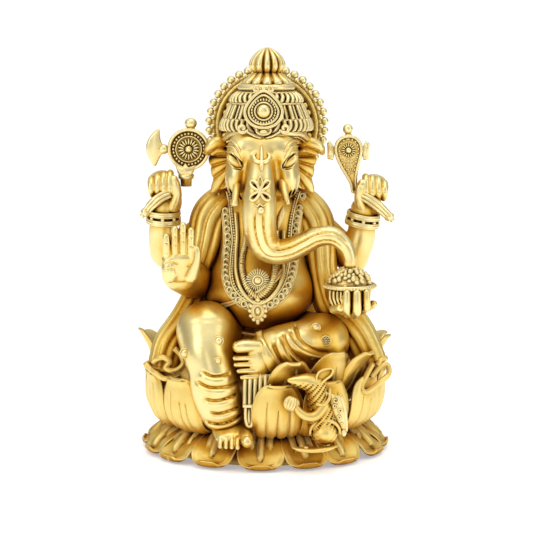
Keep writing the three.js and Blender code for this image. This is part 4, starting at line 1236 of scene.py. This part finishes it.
AXE = np.array([-28, middle("axe_disc")[1], 113.1])
disc = Trim()
wall = [(6.9, -1.6), (7.6, -1.2), (7.7, 0.6), (7.3, 1.5), (6.7, 1.5), (6.5, 0.3), (2, 0.3)]
disc.turned(wall, AXE, 64, forward=True)
disc.wire(upright(circle(7.15, 96), AXE, 1.3), 0.62, 8, closed=True)
for place in upright(circle(5.7, 28), AXE, 0.8):
    disc.ball(place, 0.48, 7, 5)
disc.wire(upright(circle(4.7, 48), AXE, 0.7), 0.26, 6, closed=True)
rays(disc, AXE, 2.8, 18, (0.36, 0.6, 1.25), 0.8)
disc.ball(AXE - [0, 1.2, 0], (1.25, 1, 1.25), 16, 10)
disc.ball(AXE + [0.8, 0, 9.4], (2.25, 2.1, 2), 18, 12)
disc.turned([(1.3, 6.5), (1.6, 7.3), (1.3, 8.1)], AXE + [0.8, 0, 0], 20)
COLLAR = [(-4.2, 2.2), (-1.6, 1.4), (-0.4, 2.9), (0.8, 1.4), (3.6, 2.2), (2.6, -0.6), (1.8, -2),
          (-2.6, -2), (-3.4, -0.6)]
disc.plate(COLLAR, AXE + [-0.8, -0.4, -7.9], 3, 0.3)
socket = [(2, -13.7), (2.2, -11.1), (2.9, -10.7), (2.9, -9.5), (2.2, -9.1), (2, -7.1)]
disc.turned(socket, AXE - [1, 0, 0], 28)
piece("axe_disc", [disc], ORNAMENT)

blade = Trim()
EDGE = [(-9.2, 1.2), (-10.2, 2.6), (-10.6, 5), (-10.9, 7.4), (-12.6, 6.4), (-14.6, 4), (-15.7, 0.6),
        (-15, -2.8), (-13.2, -5.8), (-12.2, -6.2), (-11.2, -4.4), (-10.2, -2.4), (-9.2, -1.4),
        (-9.2, 1.2)]
blade.plate(catmull(EDGE, 3)[:-1], AXE, 1.8, 0.2)
blade.ball(AXE - [9.3, 0, 0.1], (2.0, 1.9, 1.9), 14, 10)
piece("axe_blade", [blade], ORNAMENT)


def handle_tail(path, side):
    """The ribbed tail of a handle, curving out below the fist to a small knob."""
    shaft = Trim()
    rail = catmull(path, 6)
    size = np.interp(np.linspace(0, 1, len(rail)), [0, 0.5, 1], [0.6, 0.85, 0.7])
    slope = unit(np.gradient(rail, axis=0))
    across = np.cross(slope, [0, -1, 0])
    for off, lift in ((-1.15, 0), (0, 0.35), (1.15, 0)):
        shaft.wire(rail + across * off - [0, lift, 0], size, 8)
    shaft.ball(rail[-1] + [side * 0.3, 0, -0.3], (1.9, 1.6, 1.8), 14, 9)
    shaft.ball(rail[-1] + [side * 1.4, -0.4, -1.4], 0.95, 10, 7)
    return shaft


AXE_TAIL = [(-34.8, -10.2, 97.2), (-38, -11, 95.8), (-41.4, -10.4, 93), (-43.6, -8, 90.2)]
NOOSE_TAIL = [(35.2, -10.2, 96.4), (38.6, -11, 94.6), (42.4, -10.4, 91.6), (45.4, -8, 88.6)]
piece("axe_shaft", [handle_tail(AXE_TAIL, -1)], ORNAMENT)
piece("noose_shaft", [handle_tail(NOOSE_TAIL, 1)], ORNAMENT)

NOOSE = np.array([30.6, middle("noose")[1], 112.4])
noose = Trim()
LOOP = [(0, 5.6), (2.6, 5), (4.6, 2.8), (5, 0), (4.4, -3), (3.6, -6), (3, -9), (2.9, -12), (3.4, -15),
        (1.8, -15.4), (1.2, -12.6), (-0.4, -9.6), (-2.4, -6.4), (-4, -3.2), (-4.9, 0), (-4.6, 2.8),
        (-2.6, 5), (0, 5.6)]
loop = catmull(LOOP, 3)[:-1]
noose.plate(loop, NOOSE, 2.2)
noose.wire(upright(loop * [0.94, 0.97], NOOSE, 1.2), 0.6, 8, closed=True)
for across, up in loop[::2]:
    if up > -11:
        noose.ball(NOOSE + [across * 0.7 + 0.1, -1.25, up * 0.78], 0.44, 6, 5)
rays(noose, NOOSE + [0, 0, 0.3], 2, 16, (0.28, 0.5, 0.8), 1.4)
noose.ball(NOOSE + [0, -1.6, 0.3], (1.1, 0.8, 1.1), 14, 9)
for row in range(5):  # rows of beads, narrower towards the foot
    count = 4 - row // 2
    for x in np.linspace(-1.9 + 0.38 * row, 1.9 - 0.38 * row, count) + 0.25 * row:
        noose.ball(NOOSE + [x, -1.2, -3.2 - 1.15 * row], (0.36, 0.4, 0.36), 6, 5)
noose.turned([(1.1, 5.2), (1.3, 5.8), (1, 6.4)], NOOSE, 18)
noose.ball(NOOSE + [-0.2, 0, 8], (1.8, 1.7, 1.9), 16, 11)
BOW = [(0, 0.8), (1.6, 3.6), (2.8, 2.6), (2.6, 0), (2.6, -3.2), (0.6, -3.6), (0, -1.2)]
for side in (-1, 1):
    outline = np.array(BOW)[::side] * [side, 1]
    noose.plate(outline, NOOSE + [side * 5, 0, 0.2], 1.6, 0.2)
    for up in (1.9, -1.9):
        noose.ball(NOOSE + [side * 6.5, -0.6, up], 0.7, 9, 6)
piece("noose", [noose], ORNAMENT)


# ---- jewellery on the chest
def beside(points, offset):
    """A path of (x, z) points moved sideways."""
    flat = catmull(points, 6)
    slope = unit(np.gradient(flat, axis=0))
    return flat + offset * np.column_stack([slope[:, 1], -slope[:, 0]])


def spaced(path, gap):
    """Points every gap millimetres along a path."""
    along = steps_along(path)
    stops = np.arange(gap / 2, along[-1], gap)
    return np.column_stack([np.interp(stops, along, column) for column in path.T])


def lay(path, lift):
    return TORSO.drape(path, lift, 2)


GARLAND = [(-15.9, 97), (-15, 92.6), (-14.2, 86), (-13.6, 80), (-14.2, 74), (-14.3, 68), (-12.8, 63.2),
           (-9, 59.2), (-4.8, 57.4), (-2.4, 57), (0, 57.4), (4, 59.4), (7.8, 63.4), (10, 69), (11, 75),
           (11.2, 82), (12.2, 89), (14.6, 97)]
garland = Trim()
for offset, lift, thick, flat in ((-1.7, 0.7, 0.36, 1), (1.4, 0.7, 0.36, 1), (0, 0, 1.5, 0.3)):
    garland.wire(lay(beside(GARLAND, offset), lift), thick, 7, flat=flat)
for k, (x, y, z) in enumerate(spaced(lay(beside(GARLAND, -0.1), 0.9), 2.5)):
    garland.wire(upright(circle(1, 12), (x, y, z)), 0.38, 6, closed=True)
    hook = circle(0.45, 8)[: 6 - 2 * (k % 2)]
    garland.wire(upright(hook, (x, y - 0.1, z)), 0.26, 5)
    garland.ball((x + 0.5 * (-1) ** k, y, z - 1.25), (0.34, 0.4, 0.34), 6, 5)
for point in spaced(lay(beside(GARLAND, -2.5), 0.6), 1.05):
    garland.ball(point, 0.48, 6, 5)
piece("garland_necklace", [garland], ORNAMENT)

CORD = [(-10.8, 90), (-10.2, 82), (-10.6, 75), (-10.4, 69), (-8.6, 63.8), (-5.4, 60), (-2.4, 58.8), (1, 60),
        (4.8, 64.2), (6.5, 69), (6.7, 75), (6.8, 84)]
cord = Trim()
cord.wire(lay(catmull(CORD, 6), 0.9), 0.72, 9)
piece("cord_necklace", [cord], POLISHED)

ROPE = [(-6.6, 86), (-7.2, 80), (-8.2, 74.6), (-8.3, 71), (-7.5, 67.4), (-5.8, 63.6), (-2.6, 61.4),
        (1, 63.8), (3.2, 68), (3.8, 72), (4, 78), (4.2, 86)]
rope = Trim()
rope.wire(lay(catmull(ROPE, 12), 0.7), 0.98, 10, twist=0.6)
piece("rope_necklace", [rope], ORNAMENT)

thread = Trim()
SACRED = [(6.4, 70), (3, 66.4), (-2, 62.8), (-6.6, 60.6), (-11.6, 58.6), (-17.4, 56)]
for offset in (-0.45, 0.45):
    thread.wire(lay(beside(SACRED, offset), 0.3), 0.55, 7)
piece("sacred_thread", [thread], POLISHED)

SUN_X, SUN_Z = -2.6, 67
SUN = np.array([SUN_X, TORSO.front(SUN_X, SUN_Z) - 0.5, SUN_Z])
sun = Trim()
sun.turned([(4.1, -0.6), (4.1, 0.1), (1.5, 0.3)], SUN, 44, forward=True)
rays(sun, SUN, 3.1, 26, (0.3, 0.6, 1.4), 0.6)
sun.wire(upright(circle(1.75, 32), SUN, 0.9), 0.34, 7, closed=True)
sun.ball(SUN - [0, 0.8, 0], (1.35, 0.8, 1.35), 16, 9)
piece("sunburst_pendant", [sun], ORNAMENT)

HANG_X, HANG_Z = -2.6, 56
HANG = np.array([HANG_X, TORSO.front(HANG_X, HANG_Z) - 0.9, HANG_Z])
hang = Trim()
hang.plate(circle(1, 40) * [2.7, 3.6], HANG, 1.8, 0.3)
for place in upright(circle(1, 12) * [2.9, 3.7], HANG, 0.6):
    hang.ball(place, (0.85, 0.8, 0.85), 9, 7)
hang.wire(upright(circle(1, 24) * [1.6, 2.1], HANG, 1.3), 0.34, 7, closed=True)
hang.ball(HANG - [0, 1.2, 0], (0.9, 0.7, 1.4), 12, 8)
hang.ball(HANG + [0, -0.8, 4.2], 1, 10, 7)
hang.ball(HANG + [0, -0.6, -4.3], (0.8, 0.8, 0.9), 10, 7)
piece("drop_pendant", [hang], ORNAMENT)


# ---- sash and border of the dhoti
SASH_JOINT, SASH_FOOT = 23.7, 16.2  # heights of the plate across the strands, and of the loops' ends
sash = Trim()
for k, x in enumerate(np.linspace(-7.1, 3.9, 7)):
    foot = SASH_JOINT - 0.6 if k < 4 else SASH_JOINT + 1.6 * (k - 3)
    path = [(x, -33.8, 34.6), (x - 0.1, -35.6, 30), (x * 0.98 - 0.3, -36.6, foot)]
    sash.wire(catmull(path, 5), 0.72, 8)
for left in (-6.9, -3.5):  # two loops hanging below the joint
    loop = [(left, SASH_JOINT), (left, 19.4), (left + 0.6, SASH_FOOT + 0.4), (left + 1.4, SASH_FOOT),
            (left + 2.1, SASH_FOOT + 0.6), (left + 2.4, 19.4), (left + 2.4, SASH_JOINT)]
    path = upright(catmull(loop, 5), (0, -37, 0))
    sash.wire(path, 0.6, 8)
    sash.ball((left + 1.2, -36.6, 19.6), (0.6, 0.8, 3.2), 8, 7)
sash.plate([(-5.4, 0.5), (1, 0.5), (1, -0.5), (-5.4, -0.5)], (-2.6, -37.2, SASH_JOINT), 1.3, 0.1)
sash.plate([(-5.6, 9), (6, 9), (1.6, -2), (0.8, -8), (-5.2, -8)], (-2.2, -34.9, 25.6), 1, 0.0, (-6, 0, 0))
piece("waist_sash", [sash], ORNAMENT)

HEM = [(-2.2, 48.6), (-1.2, 45.6), (0.6, 41.8), (2.4, 38.6), (4.6, 35.2), (6.8, 32.6)]
hem_rail = LAP.drape(HEM, 0.9, 6)
hem_slope = np.gradient(hem_rail, axis=0)
hem_side = unit(np.column_stack([hem_slope[:, 2], 0 * hem_slope[:, 0], -hem_slope[:, 0]]))


def hem_strip(u, v):
    """The smooth band along the dhoti's edge, widening downwards."""
    place, rows = v * (len(hem_rail) - 1), np.arange(len(hem_rail))
    centre = np.stack([np.interp(place, rows, column) for column in hem_rail.T], -1)
    across = np.stack([np.interp(place, rows, column) for column in hem_side.T], -1)
    back = np.stack([0 * u, 0.5 * u * u, 0 * u], -1)
    return centre + across * (u * (1.1 + 1.2 * ramp(v, 0, 0.7)))[..., None] + back


piece("dhoti_border", [sheet_shell(hem_strip, 13, 40, 1.5)], POLISHED)


# ---- mouse
def fur(x, y, z):
    """Short dashes cut into the coat."""
    row = z * 4.4 + 0.6 * x
    dash = np.sin(row) * np.sin(3.3 * x + 1.4 * np.floor(row / math.pi) + 0.8 * y)
    return 0.6 * np.maximum(dash, -0.2)


def make_mouse():
    clay = Clay((4, -48, 8), (32, -29, 40), 0.25)
    clay.limb([(21, -36.6, 15, 5.2), (20.4, -36.8, 21, 5), (19, -37.2, 26.4, 4.3), (18, -37.8, 30.4, 3.6)],
              1)
    clay.limb([(18.4, -38, 32, 3.5), (14.6, -39.4, 33, 3), (11.2, -40.6, 33.6, 1.9),
               (8.6, -41.6, 34, 0.8)], 1.2)
    clay.press((4, -48, 9), (31, -29, 32.4), fur)
    clay.ball((21.3, -39.4, 14.4), (4.5, 3.4, 4.2), 0.2)
    clay.press((15, -48, 9), (27, -29, 20), lambda x, y, z: 0.5 * fur(x, y, z) * (np.abs(x - 21.3) > 1.4))
    clay.ball((21.2, -40.8, 14.4), (3, 2.4, 2.8), 0.2)
    arm = [(21, -40.2, 24.6, 1.9), (18, -41.8, 21.4, 1.9), (15, -42.8, 21.2, 1.7), (12.4, -43.2, 22.8, 1.5),
           (11, -43.4, 24.6, 1.2)]
    clay.limb(arm, 0.4)
    x, z = 14.4, 33.3
    y = clay.front(x, z)
    clay.groove([(x - 1.1, y, z - 0.3), (x, y - 0.1, z + 0.7), (x + 1, y, z)], 0.24)
    clay.ball((x, y + 0.3, z), (0.7, 0.5, 0.5), 0.05)
    return clay


body = Trim()
EAR = [(-2.6, -2.4), (-2.8, -0.6), (-1.8, 1.3), (0.4, 2.3), (2.6, 2.5), (2.9, 1.4), (2.2, 0), (0.2, -1.6),
       (-1.4, -3), (-2.6, -2.4)]
ear = catmull(EAR, 3)[:-1]
ear_at = np.array([21, -40.6, 35.6])
body.plate(ear * 0.92, ear_at + [0, 0.6, 0], 0.8, -0.3)
body.wire(upright(ear, ear_at, 0.3), 0.46, 8, closed=True)
haunch = []
for t in np.linspace(-0.1, 3.3, 18):
    haunch.append((21.4 + 5.3 * math.cos(t), -41 + 1.2 * abs(math.cos(t)), 14.4 + 5 * math.sin(t)))
body.wire(haunch, np.interp(np.arange(18), [0, 9, 17], [0.6, 0.85, 0.5]), 9)
collar = [(18, -41.4, 25.4), (20.6, -41.6, 25.2), (22.8, -40.6, 27.4), (23, -38.6, 30.6)]
body.wire(catmull(collar, 6), 0.66, 9)
piece("mouse", [make_mouse(), body], ANTIQUE)

foot = Trim()
sole = catmull([(9.6, -41.6, 9.8), (13, -42.6, 9.2), (17.4, -42.8, 9), (22, -42, 9.4), (25.6, -40, 10)], 5)
girth = np.interp(np.arange(21), [0, 4, 14, 20], [0.5, 1.6, 1.8, 0.9])
foot.wire(sole, girth, 12, flat=0.5, facing=(0, 0, 1))
foot.ball((14.6, -43, 10), (0.9, 0.7, 0.6), 9, 6)
piece("mouse_foot", [foot], ANTIQUE)

sweet = Trim()
sweet.ball(middle("mouse_sweet"), (2.9, 2.8, 2.9), 96, 20, (0, 20, 0), lobes=14, lobe_depth=0.2)
piece("mouse_sweet", [sweet], ORNAMENT)

cloth = Trim()


def saddle(u, v):
    """The pointed saddle cloth on the mouse's back."""
    x = 24.2 + 3.8 * v + (2.9 * (1 - 0.72 * v) + 0.6 * np.sin(math.pi * v)) * u
    z = 28.6 - 13.6 * v - 0.9 * u * (1 - v)
    return np.stack([x, -38.2 - 1.8 * np.sqrt(np.maximum(1 - 0.9 * u * u, 0)) + 0.4 * v, z], -1)


cloth.include(*sheet_shell(saddle, 15, 26, 1.0))
for u in (-0.96, 0.96):
    cloth.wire(saddle(np.full(24, u), np.linspace(0, 1, 24)) + [0, -0.4, 0], 0.7, 9)
SCROLLS = ((0.1, 0.14, 1.15, 1), (-0.25, 0.32, 0.9, -1), (0.35, 0.42, 0.9, 1), (0, 0.6, 0.8, -1),
           (0.1, 0.78, 0.5, 1))
for k, (u, v, radius, hand) in enumerate(SCROLLS):
    x, y, z = saddle(np.array(u), np.array(v))
    path, size = curl((x, z), radius, 1.3, 1.1 * k, hand, 0.3)
    cloth.wire(upright(path, (0, y - 0.7, 0)), size, 6)
cloth.ball(saddle(np.array(0.0), np.array(1.0)) + [0, -0.4, -0.4], (1, 0.9, 1.3), 12, 8)
piece("mouse_cloth", [cloth], ORNAMENT)


# ---- camera, light and floor
def soft_box(name, place, width, height, radiance):
    """A rectangular studio lamp that faces the figurine."""
    data = bpy.data.lights.new(name, "AREA")
    data.shape, data.size, data.size_y = "RECTANGLE", width, height
    data.energy = radiance * width * height * math.pi
    made = bpy.data.objects.new(name, data)
    made.location = place
    made.rotation_euler = (Vector(HEART) - Vector(place)).to_track_quat("-Z", "Y").to_euler()
    bpy.context.scene.collection.objects.link(made)


HEART = (0, 0, 0.07)  # metres, the figurine's middle
LAMPS = (  # name, place, width, height, radiance
    ("key_left", (-0.6, -0.55, 0.45), 0.42, 0.6, 1.8),
    ("key_right", (0.65, -0.4, 0.3), 0.3, 0.6, 1.5),
    ("top", (0.05, -0.15, 0.85), 0.6, 0.5, 1.5),
    ("front", (-0.12, -1.1, 0.3), 0.2, 0.5, 1.5),
)
for lamp in LAMPS:
    soft_box(*lamp)

HORIZON, SKY_STRENGTH = (0.28, 0.27, 0.26, 1), 0.92
WHITE = (1, 1, 1, 1)
LENS, CAMERA_AT, CAMERA_TILT = 109.17, (0.00056, -0.6, 0.15356), 81.946  # mm, metres, degrees


def studio_world():
    """A white tent: bright overhead, duller round the horizon, plain white where it is looked at."""
    world = bpy.data.worlds.new("studio")
    world.use_nodes = True
    nodes, links = world.node_tree.nodes, world.node_tree.links
    sky = nodes["Background"]
    place = nodes.new("ShaderNodeTexCoord")
    split = nodes.new("ShaderNodeSeparateXYZ")
    tent = nodes.new("ShaderNodeValToRGB")
    links.new(place.outputs["Generated"], split.inputs[0])
    links.new(split.outputs["Z"], tent.inputs["Fac"])
    tent.color_ramp.elements[0].color = HORIZON
    tent.color_ramp.elements[0].position = 0.0
    tent.color_ramp.elements[1].color = WHITE
    tent.color_ramp.elements[1].position = 0.75
    links.new(tent.outputs["Color"], sky.inputs["Color"])
    sky.inputs["Strength"].default_value = SKY_STRENGTH
    seen = nodes.new("ShaderNodeBackground")
    seen.inputs["Color"].default_value = WHITE
    ray = nodes.new("ShaderNodeLightPath")
    choose = nodes.new("ShaderNodeMixShader")
    links.new(ray.outputs["Is Camera Ray"], choose.inputs[0])
    links.new(sky.outputs[0], choose.inputs[1])
    links.new(seen.outputs[0], choose.inputs[2])
    links.new(choose.outputs[0], nodes["World Output"].inputs["Surface"])
    bpy.context.scene.world = world


studio_world()

floor_material = bpy.data.materials.new("pale_floor")
floor_material.use_nodes = True
floor_shader = floor_material.node_tree.nodes["Principled BSDF"]
floor_shader.inputs["Base Color"].default_value = (0.95, 0.95, 0.945, 1)
floor_shader.inputs["Roughness"].default_value = 0.7
floor_shader.inputs["Emission Color"].default_value = WHITE
floor_shader.inputs["Emission Strength"].default_value = 0.35
floor_mesh = bpy.data.meshes.new("floor")
floor_mesh.from_pydata([(-3, -3, 0), (3, -3, 0), (3, 3, 0), (-3, 3, 0)], [], [(0, 1, 2, 3)])
floor_mesh.materials.append(floor_material)
floor = bpy.data.objects.new("floor", floor_mesh)
bpy.context.scene.collection.objects.link(floor)

camera_data = bpy.data.cameras.new("camera")
camera_data.sensor_width = 36.0
camera_data.lens = LENS
camera_data.clip_start = 0.01
camera = bpy.data.objects.new("camera", camera_data)
camera.location = CAMERA_AT
camera.rotation_euler = (math.radians(CAMERA_TILT), 0, 0)
bpy.context.scene.collection.objects.link(camera)
bpy.context.scene.camera = camera
bpy.context.scene.view_settings.view_transform = "Standard"
